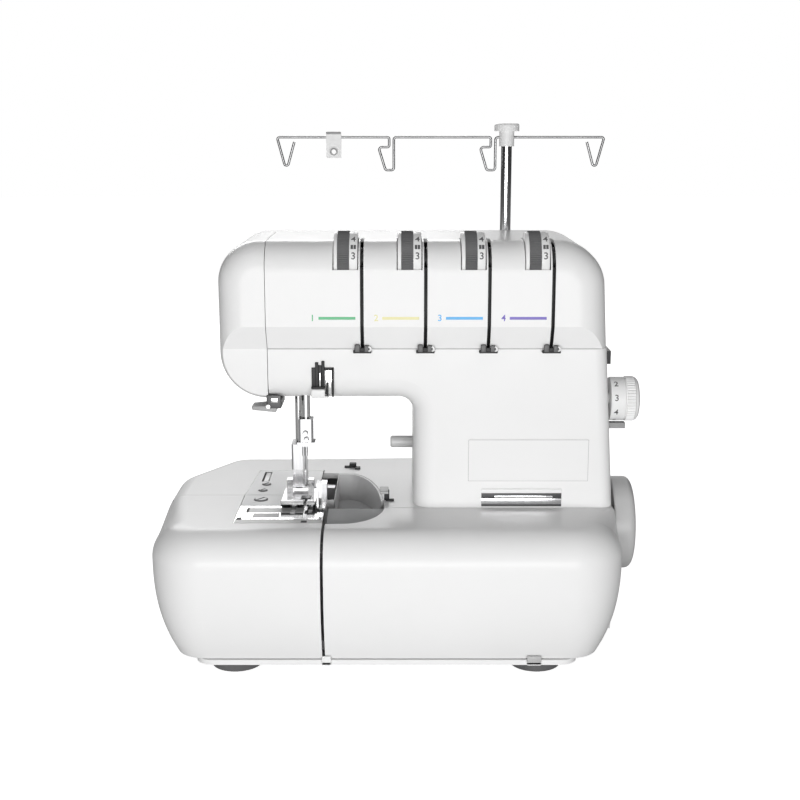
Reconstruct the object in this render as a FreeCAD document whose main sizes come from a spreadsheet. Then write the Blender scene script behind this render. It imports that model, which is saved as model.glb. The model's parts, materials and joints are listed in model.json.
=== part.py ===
import FreeCAD, Part
import Sketcher
import math
import os
import re
from types import SimpleNamespace

Vector = FreeCAD.Vector
doc = FreeCAD.newDocument("serger")

# Driving dimensions in mm. X runs right, Y runs back, Z runs up from the floor.
sizes = {
    # case outline
    "foot_height": 8,
    "foot_radius": 18.5,
    "foot_tread": 17.5,
    "foot_left": 110.5,
    "foot_right": 91.5,
    "foot_front": 88.5,
    "foot_back": 58,
    "pan_height": 3.4,
    "pan_clear": 0.5,
    "pan_floor": 3,
    "pan_left": 136,
    "pan_right": 118,
    "pan_front": 111.5,
    "pan_rear": 78,
    "bed_height": 100,
    "bed_skin": 4,
    "base_left": 165,
    "base_right": 148,
    "base_front": 125,
    "base_rear": 85,
    "base_corner": 36,
    "cover_top_round": 22,
    "left_edge_round": 12,
    "right_edge_round": 3,
    "cover_tuck": 15,
    "cover_curve": 2.5,
    "cover_split": 50.5,
    "cover_gap": 2,
    "cloth_rear": 26,
    "throat_height": 76,
    "arm_band": 35,
    "crease_rise": 16,
    "head_height": 107,
    "arm_front": 57,
    "cover_bulge": 8,
    "rear_split": 20,
    "case_rear": 45,
    "column_left": 9,
    "column_right": 147,
    "column_lean": 7,
    "head_left": 122,
    "face_seam": 89,
    "wall": 2.5,
    "seam": 0.4,
    "run_gap": 0.4,
    "pin_gap": 0.05,
    # hinges of the front covers
    "tip_front": 108,
    "tip_height": 30,
    "tip_pin": 1.6,
    "tip_knuckle": 4,
    "tip_lug_left": 20,
    "tip_lug_right": 95,
    "swing_pin": 1.2,
    "swing_knuckle": 2.6,
    "swing_lug_low": 54,
    "swing_lug_high": 70,
    "lug_width": 8,
    # bed plates
    "plate_left": 110.5,
    "plate_right": 58.5,
    "plate_front": 92,
    "throat_seam": 53,
    "plate_thick": 2,
    "bed_plate_left": 106.5,
    "bed_plate_rear": 41,
    "well_right": 11,
    "well_turn": 39.5,
    "well_rear": 33,
    "well_front": 94,
    "well_depth": 22,
    "scoop_depth": 6.5,
    "frame_floor": 6,
    # needle drive
    "needle_x": 64.7,
    "needle_y": 45,
    "needle_bar_radius": 3,
    "lever_reach": 38.62,
    "lever_rise": 13,
    "lever_pin": 2,
    "crank_reach": 22.75,
    "crank_rise": 7.65,
    "crank_x": 101,
    "rocker_radius": 5,
    "rocker_lift": 37,
    "clamp_low": 142,
    "clamp_height": 19,
    "clamp_width": 10.4,
    "needle_gauge": 2.2,
    "needle_drop": 29,
    # presser
    "presser_x": 70.7,
    "presser_y": 33,
    "presser_bar_radius": 2.5,
    "lifter_y": 14,
    "lifter_lift": 22,
    "lifter_radius": 3.5,
    "grip_height": 133,
    "grip_radius": 4.3,
    "grip_reach": 16,
    "foot_gap": 0.8,
    # main drive
    "main_y": 19.5,
    "main_z": 78.3,
    "main_radius": 5,
    "wheel_radius": 33,
    "wheel_face": 165,
    "wheel_width": 15,
    "pulley_radius": 22,
    "pulley_x": 127,
    "pulley_width": 9,
    "motor_y": 45,
    "motor_z": 44,
    "motor_radius": 22,
    "motor_pulley_radius": 8,
    "motor_shaft_radius": 3,
    "belt_thick": 1.8,
    # tension and thread path
    "dial_first": 43.8,
    "dial_pitch": 42.2,
    "dial_width": 15.8,
    "dial_radius": 19,
    "dial_y": 46,
    "dial_drop": 13,
    "stud_radius": 4,
    "slot_offset": 18.6,
    "slot_width": 2.4,
    "mast_x": 79,
    "mast_y": 62,
    "mast_radius": 4,
    "mast_wall": 1.6,
    "mast_seat": 4.6,
    "mast_length": 178,
    "wire_height": 349.6,
    "wire_radius": 0.95,
    "stand_height": 182,
    "stand_thick": 10,
    "stand_left": 112,
    "stand_right": 159,
    "stand_rear": 125,
    "spool_first": 84.7,
    "spool_pitch": 76.5,
    "spool_y": 94,
    "spool_radius": 2.5,
    "spool_top": 250,
    # controls
    "length_dial_radius": 15.5,
    "length_dial_y": 40,
    "length_dial_rise": 73.5,
    "length_dial_face": 164,
}
s = SimpleNamespace(**sizes)

sheet = doc.addObject("Spreadsheet::Sheet", "dims")
for row, (name, value) in enumerate(sizes.items(), 1):
    sheet.set(f"A{row}", name)
    sheet.set(f"B{row}", str(value))
    sheet.setAlias(f"B{row}", name)
doc.recompute()

# Heights that several pieces share.
head_low = "(bed_height + throat_height)"
head_high = "(bed_height + throat_height + head_height)"
seam_high = "(bed_height + throat_height + arm_band)"
crease_high = "(bed_height + throat_height + arm_band + crease_rise)"
pan_deck = "(foot_height + pan_floor)"
pan_rim = "(foot_height + pan_height)"
rocker_y = "(lever_reach - needle_y)"
rocker_z = "(bed_height + throat_height + rocker_lift)"
lifter_z = "(bed_height + throat_height + lifter_lift)"
dial_z = "(bed_height + throat_height + head_height - dial_drop)"
plate_low = "(bed_height - plate_thick)"

turns = {
    "x": FreeCAD.Rotation(Vector(0, 1, 0), 90),
    "y": FreeCAD.Rotation(Vector(1, 0, 0), -90),
    "z": FreeCAD.Rotation(),
}
planes = {"xy": "XY_Plane", "xz": "XZ_Plane", "yz": "YZ_Plane"}
nodes = []


def linked(text):
    """Expression text with every size name pointed at the sheet."""
    def swap(found):
        word = found.group()
        return f"dims.{word}" if word in sizes else word
    return re.sub(r"[a-z][a-z0-9_]*", swap, str(text))


def worth(text):
    """Number that an expression comes to."""
    return float(sheet.evalExpression(linked(text)))


def place(item, x, y, z):
    for axis, text in zip("xyz", (x, y, z)):
        item.setExpression(f"Placement.Base.{axis}", linked(text))


def box(x, y, z):
    item = doc.addObject("Part::Box", "box")
    place(item, x[0], y[0], z[0])
    for side, span in (("Length", x), ("Width", y), ("Height", z)):
        item.setExpression(side, linked(f"({span[1]}) - ({span[0]})"))
    return item


def round_solid(kind, axis, span, center):
    item = doc.addObject(kind, "round")
    item.Placement = FreeCAD.Placement(Vector(), turns[axis])
    point = list(center)
    point.insert("xyz".index(axis), span[0])
    place(item, *point)
    item.setExpression("Height", linked(f"({span[1]}) - ({span[0]})"))
    return item


def rod(axis, span, center, radius):
    item = round_solid("Part::Cylinder", axis, span, center)
    item.setExpression("Radius", linked(radius))
    return item


def cone(axis, span, center, first, last):
    item = round_solid("Part::Cone", axis, span, center)
    item.setExpression("Radius1", linked(first))
    item.setExpression("Radius2", linked(last))
    return item


def fuse(*items):
    item = doc.addObject("Part::MultiFuse", "fuse")
    item.Shapes = list(items)
    return item


def cut(base, *tools):
    item = doc.addObject("Part::Cut", "cut")
    item.Base = base
    item.Tool = tools[0] if len(tools) == 1 else fuse(*tools)
    return item


def tube(axis, span, center, outer, inner):
    start, end = span
    return cut(rod(axis, span, center, outer),
               rod(axis, (f"{start} - 1", f"{end} + 1"), center, inner))


def prism(plane, points, span):
    """Pad of a closed polygon whose corners are bound to the sheet."""
    body = doc.addObject("PartDesign::Body", "prism")
    sketch = body.newObject("Sketcher::SketchObject", "outline")
    support = next(o for o in body.Origin.OriginFeatures if o.Role == planes[plane])
    sketch.AttachmentSupport = [(support, "")]
    sketch.MapMode = "FlatFace"
    count = len(points)
    rough = [Vector(worth(a), worth(b), 0) for a, b in points]
    for i in range(count):
        sketch.addGeometry(Part.LineSegment(rough[i], rough[(i + 1) % count]))
    for i in range(count):
        sketch.addConstraint(Sketcher.Constraint("Coincident", i, 2, (i + 1) % count, 1))
    for i, point in enumerate(points):
        for kind, text, value in zip(("DistanceX", "DistanceY"), point, rough[i]):
            index = sketch.addConstraint(Sketcher.Constraint(kind, -1, 1, i, 1, value))
            sketch.setExpression(f"Constraints[{index}]", linked(text))
    start, end = span
    offset = f"-({end})" if plane == "xz" else start
    sketch.setExpression("AttachmentOffset.Base.z", linked(offset))
    pad = body.newObject("PartDesign::Pad", "pad")
    pad.Profile = sketch
    pad.setExpression("Length", linked(f"({end}) - ({start})"))
    doc.recompute()
    return body


def edges_at(item, along="", **where):
    """Numbers of the edges that run along one axis and lie at the given places."""
    whole = item.Shape.BoundBox
    found = []
    for number, edge in enumerate(item.Shape.Edges, 1):
        low = {"x": edge.BoundBox.XMin, "y": edge.BoundBox.YMin, "z": edge.BoundBox.ZMin}
        high = {"x": edge.BoundBox.XMax, "y": edge.BoundBox.YMax, "z": edge.BoundBox.ZMax}
        if along and any(high[a] - low[a] > 0.02 for a in "xyz" if a != along):
            continue
        fits = True
        for axis, place_at in where.items():
            if place_at == "min":
                place_at = {"x": whole.XMin, "y": whole.YMin, "z": whole.ZMin}[axis]
            elif place_at == "max":
                place_at = {"x": whole.XMax, "y": whole.YMax, "z": whole.ZMax}[axis]
            if abs(low[axis] - place_at) > 0.06 or abs(high[axis] - place_at) > 0.06:
                fits = False
        if fits:
            found.append(number)
    return found


def rounded(base, radius, numbers):
    item = doc.addObject("Part::Fillet", "rounded")
    item.Base = base
    item.Edges = [(number, radius, radius) for number in numbers]
    doc.recompute()
    return item


def soften(base, radius, along="", **where):
    doc.recompute()
    return rounded(base, radius, edges_at(base, along, **where))


def group(*items):
    item = doc.addObject("Part::Compound", "group")
    item.Links = list(items)
    return item


def node(name, item):
    item.Label = name
    nodes.append(item)
    return item


def swept(points, radius, bend):
    """Round wire along straight runs joined by tangent arcs."""
    edges = []
    last = points[0]
    for i in range(1, len(points) - 1):
        corner = points[i]
        back = (points[i - 1] - corner).normalize()
        ahead = (points[i + 1] - corner).normalize()
        angle = back.getAngle(ahead)
        turn = bend[i] if isinstance(bend, dict) else bend
        run = turn / math.tan(angle / 2)
        start = corner + back * run
        end = corner + ahead * run
        middle_way = (back + ahead).normalize()
        middle = corner + middle_way * (turn / math.sin(angle / 2) - turn)
        if (start - last).Length > 0.01:
            edges.append(Part.makeLine(last, start))
        edges.append(Part.Arc(start, middle, end).toShape())
        last = end
    edges.append(Part.makeLine(last, points[-1]))
    path = doc.addObject("Part::Feature", "path")
    path.Shape = Part.Wire(edges)
    way = (points[1] - points[0]).normalize()
    ring = doc.addObject("Part::Feature", "ring")
    ring.Shape = Part.Wire(Part.makeCircle(radius, points[0], way))
    item = doc.addObject("Part::Sweep", "wire")
    item.Sections = [ring]
    item.Spine = (path, [])
    item.Solid = True
    item.Frenet = False
    return item


# Rubber feet under the pan.
feet = []
for x in ("-foot_left", "foot_right"):
    for y in ("-foot_front", "foot_back"):
        foot = cone("z", ("0", "foot_height"), (x, y), "foot_tread", "foot_radius")
        feet.append(soften(foot, 1.5, z="min"))
node("rubber_feet", group(*feet))

# Base pan with the two lugs of the looper cover's hinge rod.
pan_block = box(("-pan_left", "pan_right"), ("-pan_front", "pan_rear"), ("foot_height", pan_rim))
pan_block = soften(pan_block, 12, along="z")
pan_hollow = box(("wall - pan_left", "pan_right - wall"), ("wall - pan_front", "pan_rear - wall"),
                 (pan_deck, f"{pan_rim} + 1"))
pan_hollow = soften(pan_hollow, 9.5, along="z")
pan_tray = cut(pan_block, pan_hollow)
tip_axis = ("-tip_front", "tip_height")
lugs = []
for x in ("-tip_lug_left", "tip_lug_right"):
    lugs.append(rod("x", (x, f"{x} + lug_width"), tip_axis, "tip_knuckle"))
    lugs.append(box((x, f"{x} + lug_width"), ("-tip_front", "26 - tip_front"),
                    ("tip_height + 1", "tip_height + tip_knuckle")))
    lugs.append(box((x, f"{x} + lug_width"), ("20 - tip_front", "26 - tip_front"),
                    (pan_deck, "tip_height + tip_knuckle")))
tip_hole = rod("x", ("-tip_lug_left - 20", "tip_lug_right + 30"), tip_axis, "tip_pin + pin_gap")
node("base_pan", cut(fuse(pan_tray, *lugs), tip_hole))

# Rod that the looper cover slides on and tips about.
node("looper_cover_hinge_rod",
     rod("x", ("-tip_lug_left - 14", "tip_lug_right + 26"), tip_axis, "tip_pin"))



def top_edge(block):
    """Round the base housing's top edge, softer on the left than under the column."""
    doc.recompute()
    whole = block.Shape.BoundBox
    edges = []
    for number, edge in enumerate(block.Shape.Edges, 1):
        span = edge.BoundBox
        if span.ZMin < whole.ZMax - 0.06 or span.YMax < -s.cloth_rear + 1:
            continue
        if span.XMin < -s.plate_right + 0.1 and span.YMax - span.YMin < 0.1 and span.YMax < 0:
            continue
        radii = [s.left_edge_round if vertex.Point.x < 0 else s.right_edge_round for vertex in edge.Vertexes]
        edges.append((number, radii[0], radii[-1]))
    item = doc.addObject("Part::Fillet", "rim")
    item.Base = block
    item.Edges = edges
    doc.recompute()
    return item


def oval_block(left, right, base, tip, low, high):
    """Block whose far right corner is swept as a quarter ellipse from the turn line to its right side."""
    turn = -s.well_turn
    center = Vector(turn, base, low)
    curve = Part.Ellipse(Vector(turn, tip, low), Vector(right, base, low), center)
    sweep = Part.ArcOfEllipse(curve, 0, math.pi / 2).toShape()
    far = [Vector(right, base, low), Vector(left, base, low), Vector(left, tip, low), Vector(turn, tip, low)]
    sides = [Part.makeLine(far[i], far[i + 1]) for i in range(3)]
    item = doc.addObject("Part::Feature", "oval")
    item.Shape = Part.Face(Part.Wire(Part.__sortEdges__([sweep] + sides))).extrude(Vector(0, 0, high - low))
    return item


# Rear base housing, open below and in front.
base_plan = [
    ("-base_left", "seam - cloth_rear"),
    ("-plate_right", "seam - cloth_rear"),
    ("-plate_right", "seam - arm_front"),
    ("base_right", "seam - arm_front"),
    ("base_right", "base_rear"),
    ("-base_left + 34", "base_rear"),
    ("-base_left", "base_rear - 60"),
]
base_block = prism("xy", base_plan, (pan_rim, "bed_height"))
base_block = soften(base_block, 24, along="z", y="max")
base_block = soften(base_block, 30, along="z", x="min", y=s.base_rear - 60)
base_block = top_edge(base_block)
hollow_plan = [
    ("wall - base_left", "-cloth_rear - 1"),
    ("wall - plate_right", "-cloth_rear - 1"),
    ("wall - plate_right", "-arm_front - 1"),
    ("base_right - wall", "-arm_front - 1"),
    ("base_right - wall", "base_rear - wall"),
    ("-base_left + 36", "base_rear - wall"),
    ("wall - base_left", "base_rear - 61"),
]
base_hollow = prism("xy", hollow_plan, (f"{pan_rim} - 1", "bed_height - bed_skin"))
base_hollow = soften(base_hollow, 21.5, along="z", y="max")
base_shell = cut(base_block, base_hollow)
column_well = box(("column_left + 8", "column_right - 8"), ("wall + 4 - arm_front", "case_rear - 8"),
                  ("bed_height - 10", "bed_height + 1"))
plate_rebate = prism("xy", [("-plate_left - 0.2", "-cloth_rear - 1"), ("1 - plate_right", "-cloth_rear - 1"),
                            ("1 - plate_right", "bed_plate_rear + 0.2"),
                            ("-bed_plate_left - 0.2", "bed_plate_rear + 0.2")],
                     (plate_low, "bed_height + 1"))
feed_well = box(("-plate_left + 14", "-plate_right + 1"), ("-cloth_rear - 1", "bed_plate_rear - 8"),
                ("bed_height - 10", "bed_height + 1"))
well_hole = oval_block(-s.plate_right - 1, -s.well_right, -s.arm_front - 1, s.well_rear,
                       s.bed_height - 10, s.bed_height + 1)
wheel_hole = rod("x", ("base_right - 8", "base_right + 1"), ("-main_y", "main_z"), "12")
inlet_hole = box(("base_right - 8", "base_right + 1"), ("48.5", "67.5"), ("44.5", "63.5"))
switch_hole = box(("base_right - 8", "base_right + 1"), ("19", "33"), ("42.5", "63.5"))
lug_posts = []
swing_axis = ("swing_knuckle - base_left", "-cloth_rear - swing_knuckle")
for low in ("swing_lug_low", "swing_lug_high"):
    lug_posts.append(rod("z", (low, f"{low} + lug_width"), swing_axis, "swing_knuckle"))
    lug_posts.append(box(("0.4 - base_left", "wall + 1 - base_left"),
                         ("-cloth_rear - swing_knuckle", "2 - cloth_rear"),
                         (low, f"{low} + lug_width")))
posts = []
for x, y, low in (("-118", "56", pan_deck), ("-118", "0", pan_deck),
                  ("30", "64", f"{pan_deck} + frame_floor")):
    posts.append(rod("z", (low, "bed_height - 1"), (x, y), "5"))
for y in ("16", "33.2"):
    posts.append(box(("base_right - 8", "base_right - 1"), (y, f"{y} + 2.8"), ("48", "58")))
step_wall = box(("-plate_right - 1", "wall - plate_right + 1"), ("-arm_front - 1", "4 - cloth_rear"),
                (f"{pan_rim} - 1", "bed_height - bed_skin"))
switch_bore = rod("y", ("15", "37"), ("base_right - 4", "53"), "1.5 + pin_gap")
base_open = cut(base_shell, column_well, plate_rebate, feed_well, well_hole, step_wall, wheel_hole,
                inlet_hole,
                switch_hole)
swing_hole = rod("z", ("swing_lug_low - 12", "swing_lug_high + 20"), swing_axis, "swing_pin")
node("base_housing", cut(fuse(base_open, *lug_posts, *posts), swing_hole, switch_bore))
swing_pin = rod("z", ("swing_lug_low - 8", "swing_lug_high + lug_width + 8"), swing_axis, "swing_pin")


def cover_sink(level):
    """How far a front cover's outer faces stand back at a height, towards the foot."""
    start = s.bed_height - s.cover_top_round
    foot = s.foot_height + s.pan_height + s.pan_clear
    return s.cover_tuck * (max(start - level, 0) / (start - foot)) ** s.cover_curve


def cover_section(split, end, rear, inset, level):
    """Plan outline of a front cover at one height, with its outer front corner rounded."""
    side = 1 if end > split else -1
    sink = cover_sink(level) + inset
    out = end - side * sink
    front = sink - s.base_front
    center = Vector(end - side * s.base_corner, s.base_corner - s.base_front, level)
    reach = s.base_corner - sink
    middle = center + Vector(side * reach * math.sqrt(0.5), -reach * math.sqrt(0.5), 0)
    side_end = Vector(out, center.y, level)
    front_end = Vector(center.x, front, level)
    corners = [Vector(split, front, level), Vector(split, rear, level), Vector(out, rear, level)]
    edges = [
        Part.makeLine(corners[2], side_end),
        Part.Arc(side_end, middle, front_end).toShape(),
        Part.makeLine(front_end, corners[0]),
        Part.makeLine(corners[0], corners[1]),
        Part.makeLine(corners[1], corners[2]),
    ]
    return Part.Wire(edges)


def cover_solid(split, end, rear, inset, low, edge_round):
    """Solid front cover, tucked in towards its foot and rounded along its top edge."""
    shoulder_low = s.bed_height - s.cover_top_round
    steps = 9
    levels = [low + (shoulder_low - low) * i / steps for i in range(steps + 1)]
    skirt = doc.addObject("Part::Feature", "skirt")
    skirt.Shape = Part.makeLoft([cover_section(split, end, rear, inset, z) for z in levels], True, False)
    crown = doc.addObject("Part::Feature", "crown")
    crown_face = Part.Face(cover_section(split, end, rear, inset, shoulder_low))
    crown.Shape = crown_face.extrude(Vector(0, 0, s.cover_top_round - inset))
    doc.recompute()
    top = doc.addObject("Part::Fillet", "top")
    top.Base = crown
    top.Edges = [(number, *radii) for number, radii in top_rim(crown, end, rear, inset, edge_round)]
    doc.recompute()
    return fuse(skirt, top)


def top_rim(item, end, rear, inset, edge_round):
    """Edges round the front and the outer end of a cover's top, with the radius at both ends of each."""
    whole = item.Shape.BoundBox
    found = []
    for number, edge in enumerate(item.Shape.Edges, 1):
        span = edge.BoundBox
        if span.ZMin < whole.ZMax - 0.06:
            continue
        at_front = abs(span.YMin - whole.YMin) < 0.1
        at_end = min(abs(span.XMin - end), abs(span.XMax - end)) < s.wall + 0.1
        across = span.YMax - span.YMin < 0.1 and not at_front
        inner_end = span.XMax - span.XMin < 0.1 and not at_end
        if (at_front or at_end) and not across and not inner_end:
            full = s.cover_top_round - inset - 0.01
            small = max(edge_round - inset, 0.6)
            radii = [small if abs(vertex.Point.y - rear) < 0.1 else full for vertex in edge.Vertexes]
            found.append((number, (radii[0], radii[-1])))
    return found


def front_cover(split, end, rear, edge_round):
    """Shell of a front cover, open behind, below and at the split."""
    side = 1 if worth(end) > worth(split) else -1
    foot = s.foot_height + s.pan_height + s.pan_clear
    outer = cover_solid(worth(split), worth(end), worth(rear), 0, foot, edge_round)
    hollow = cover_solid(worth(split) - side, worth(end), worth(rear) + 1, s.wall, foot - 1, edge_round)
    return cut(outer, hollow)


# Left front cover: swings out about the pin at its left rear edge.
cloth_shell = front_cover("-cover_split - cover_gap / 2", "-base_left", "-cloth_rear", s.left_edge_round)
plate_window = box(("-plate_left - run_gap", "-cover_split"), ("-plate_front - run_gap", "1 - cloth_rear"),
                   ("bed_height - 12", "bed_height + 1"))
swing_bead = rod("z", ("swing_lug_low - 4", "bed_height - cover_top_round + 2"), swing_axis, "swing_knuckle")
edge_trim = box(("-base_left - 1", "swing_knuckle - base_left"),
                ("-cloth_rear - swing_knuckle", "1 - cloth_rear"),
                ("0", "bed_height + 1"))
edge_trim_in = box(("swing_knuckle - base_left - 1", "2 * swing_knuckle - base_left + 2"),
                   ("-cloth_rear - swing_knuckle", "1 - cloth_rear"), ("0", "bed_height - wall - 0.5"))
lug_gaps = []
for low in ("swing_lug_low", "swing_lug_high"):
    lug_gaps.append(rod("z", (f"{low} - run_gap", f"{low} + lug_width + run_gap"), swing_axis,
                        "swing_knuckle + 1.4"))
swing_bore = rod("z", (f"{pan_rim} + 1", "bed_height - 1"), swing_axis, "swing_pin + pin_gap")
cloth_plate = fuse(cut(cloth_shell, plate_window, edge_trim, edge_trim_in), swing_bead)
node("cloth_plate", cut(cloth_plate, swing_bore, *lug_gaps))

# Right front cover: slides right, then tips forward about its rod.
looper_shell = front_cover("-cover_split + cover_gap / 2", "base_right", "-arm_front - seam",
                           s.right_edge_round)
scoop_floor = s.bed_height - s.scoop_depth
bowl = oval_block((s.cover_gap / 2) - s.cover_split, 2 - s.well_right, -s.arm_front - s.seam,
                  -s.well_front - 2, scoop_floor - 2, s.bed_height - 1)
scoop = oval_block(-s.cover_split, -s.well_right, 1 - s.arm_front, -s.well_front,
                   scoop_floor, s.bed_height + 1)
knuckles = []
for x in ("-tip_lug_left", "tip_lug_right"):
    knuckles.append(tube("x", (f"{x} + lug_width + 1", f"{x} + 2 * lug_width + 1"), tip_axis, "tip_knuckle",
                         "tip_pin + pin_gap"))
    knuckles.append(box((f"{x} + lug_width + 1", f"{x} + 2 * lug_width + 1"),
                        ("8.2 - base_front", "-tip_front - tip_pin - 0.6"),
                        ("tip_height - 1", "tip_height + 3.4")))
looper_cover = fuse(cut(fuse(looper_shell, bowl), scoop), *knuckles)
node("looper_cover", looper_cover)

# Upper case: one front outline shared by all its pieces.
shoulder = [
    ("column_right - column_lean", seam_high),
    ("column_right - 10", f"{head_high} - 18.5"),
    ("column_right - 28.5", head_high),
]
front_rear = "rear_split - seam / 2"


def column_solid(inset, front, rear, low_extra, high_extra, bend):
    points = [
        (f"-face_seam - {low_extra}", f"{head_low} + {inset}"),
        (f"column_left + {inset}", f"{head_low} + {inset}"),
        (f"column_left + {inset}", f"bed_height - {low_extra}"),
        (f"column_right - {inset}", f"bed_height - {low_extra}"),
        (f"column_right - column_lean - {inset}", f"{seam_high} + {high_extra}"),
        (f"-face_seam - {low_extra}", f"{seam_high} + {high_extra}"),
    ]
    solid = prism("xz", points, (front, rear))
    gap = worth(inset)
    corner_x = s.column_left + gap
    corner_z = worth(head_low) + gap
    solid = soften(solid, 10 + gap, along="y", x=corner_x, z=corner_z)
    whole = solid.Shape.BoundBox
    chain = []
    for number, edge in enumerate(solid.Shape.Edges, 1):
        span = edge.BoundBox
        if abs(span.YMin - whole.YMin) > 0.06 or abs(span.YMax - whole.YMin) > 0.06:
            continue
        under = abs(span.ZMin - corner_z) < 0.1 and abs(span.ZMax - corner_z) < 0.1
        beside = abs(span.XMin - corner_x) < 0.1 and abs(span.XMax - corner_x) < 0.1
        inside = span.XMax < corner_x + 0.1 and span.ZMax < corner_z + 0.1 and span.XMin > corner_x - 20
        if under or beside or inside:
            chain.append(number)
    solid = rounded(solid, bend, chain)
    right = [number for number, edge in enumerate(solid.Shape.Edges, 1)
             if edge.BoundBox.XMin > s.column_right - s.column_lean - 4
             and abs(edge.BoundBox.YMax - whole.YMin) < 0.06 and edge.BoundBox.ZLength > 50]
    return rounded(solid, bend * 0.6, right)


column_outer = column_solid("0", "-arm_front", front_rear, "0", "-seam / 2", 14)
column_inner = column_solid("wall", "wall - arm_front", "rear_split + 1", "1", "1", 11.5)
column_shell = cut(column_outer, column_inner)
grip_slot = box(("column_left - 1", "column_left + wall + 1"), ("-28", "8"),
                ("grip_height - 9", "grip_height + 7"))
dial_axis = ("-length_dial_y", "(bed_height + length_dial_rise)")
length_hole = rod("x", ("column_right - 20", "column_right + 1"), dial_axis,
                  "stud_radius + pin_gap")
length_boss = rod("x", ("column_right - 18", "column_right - wall - 3.4"),
                  dial_axis,
                  "stud_radius + 3")
bar_hole = rod("z", (f"{head_low} - 1", f"{head_low} + 14"), ("-needle_x", "-needle_y"),
               "needle_bar_radius + 2")
presser_hole = rod("z", (f"{head_low} - 1", f"{head_low} + 14"), ("-presser_x", "-presser_y"),
                   "presser_bar_radius + 2")
node("column_housing", cut(fuse(column_shell, length_boss), grip_slot, length_hole, bar_hole, presser_hole))


def cap_solid(points, front, rear, corners):
    """Upper case block with rounded outline corners."""
    solid = prism("xz", points, (front, rear))
    for radius, index in corners:
        x, z = points[index]
        solid = soften(solid, radius, along="y", x=worth(x), z=worth(z))
    return solid


def front_rim(solid, radius, low_radius, keep_left, keep_low):
    """Round the front rim, except at a side or foot where the next piece goes on."""
    whole = solid.Shape.BoundBox
    edges = []
    for number, edge in enumerate(solid.Shape.Edges, 1):
        span = edge.BoundBox
        if abs(span.YMin - whole.YMin) > 0.06 or abs(span.YMax - whole.YMin) > 0.06:
            continue
        at_side = span.XMax < keep_left + 0.1 or span.XMin > -keep_left - 0.1
        at_foot = span.ZMax < keep_low + 0.1
        if at_side or at_foot:
            continue
        ends = [vertex.Point.z for vertex in edge.Vertexes]
        radii = [low_radius if abs(z - keep_low) < 0.1 else radius for z in ends]
        edges.append((number, radii[0], radii[-1]))
    item = doc.addObject("Part::Fillet", "rim")
    item.Base = solid
    item.Edges = edges
    doc.recompute()
    return item


upper_points = [("-face_seam", f"{seam_high} + seam / 2"),
                (shoulder[0][0], f"{seam_high} + seam / 2"), shoulder[1], shoulder[2],
                ("-face_seam", head_high)]
upper_outer = cap_solid(upper_points, "-arm_front - cover_bulge", front_rear, ((29, 2), (31, 3)))
upper_outer = front_rim(upper_outer, 20, 9, -s.face_seam, worth(upper_points[0][1]))
inner_points = [("-face_seam - 1", f"{seam_high} - 1"), (f"{shoulder[0][0]} - wall", f"{seam_high} - 1"),
                (f"{shoulder[1][0]} - wall - 1", f"{shoulder[1][1]} - 1"),
                (f"{shoulder[2][0]} - 1", f"{head_high} - wall"), ("-face_seam - 1", f"{head_high} - wall")]
upper_inner = cap_solid(inner_points, "wall - arm_front - cover_bulge", "rear_split + 1",
                        ((25.5, 2), (27, 3)))
upper_inner = front_rim(upper_inner, 17.5, 6.5, -s.face_seam - 1, worth(inner_points[0][1]))


def crease_wedge(left, right, inset):
    front = "-arm_front - cover_bulge - 2"
    points = [(front, f"{head_low} - 2"), (f"{inset} - arm_front", f"{head_low} - 2"),
              (f"{inset} - arm_front", seam_high), (f"{inset} - arm_front - cover_bulge", crease_high),
              (front, crease_high)]
    return prism("yz", points, (left, right))


upper_skin = cut(cut(upper_outer, crease_wedge("-face_seam - 2", "column_right + 2", "0")),
                 cut(upper_inner, crease_wedge("-face_seam - 4", "column_right + 2", "wall")))
windows = []
for i in range(4):
    left = f"{i} * dial_pitch - dial_first"
    windows.append(rod("x", (f"{left} - 0.6", f"{left} + dial_width + 0.6"), ("-dial_y", dial_z),
                       "dial_radius + 0.6"))
    windows.append(box((f"{left} + slot_offset - slot_width / 2", f"{left} + slot_offset + slot_width / 2"),
                       ("-arm_front - cover_bulge - 1", "-dial_y + 12"),
                       (f"{seam_high} - 1", f"{head_high} + 1")))
node("upper_cover", cut(upper_skin, *windows))

def soften_face(solid, radius):
    """Round the front rim of the face cover, except along its seam."""
    whole = solid.Shape.BoundBox
    numbers = [n for n, edge in enumerate(solid.Shape.Edges, 1)
               if abs(edge.BoundBox.YMin - whole.YMin) < 0.06 and abs(edge.BoundBox.YMax - whole.YMin) < 0.06
               and edge.BoundBox.XMin < whole.XMax - 0.1]
    return rounded(solid, radius, numbers)


face_points = [("-head_left", head_low), ("-face_seam - seam", head_low), ("-face_seam - seam", head_high),
               ("-head_left", head_high)]
face_outer = cap_solid(face_points, "-arm_front - cover_bulge", front_rear, ((32, 0), (28, 3)))
face_outer = soften_face(face_outer, 18)
face_in_points = [("wall - head_left", f"{head_low} + wall"), ("-face_seam + 1", f"{head_low} + wall"),
                  ("-face_seam + 1", f"{head_high} - wall"), ("wall - head_left", f"{head_high} - wall")]
face_inner = cap_solid(face_in_points, "wall - arm_front - cover_bulge", "rear_split + 1",
                       ((29.5, 0), (25.5, 3)))
face_inner = soften_face(face_inner, 15.5)
face_skin = cut(cut(face_outer, crease_wedge("-head_left - 2", "-face_seam + 2", "0")),
                cut(face_inner, crease_wedge("-head_left - 4", "-face_seam + 4", "wall")))
node("face_cover", face_skin)


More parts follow.
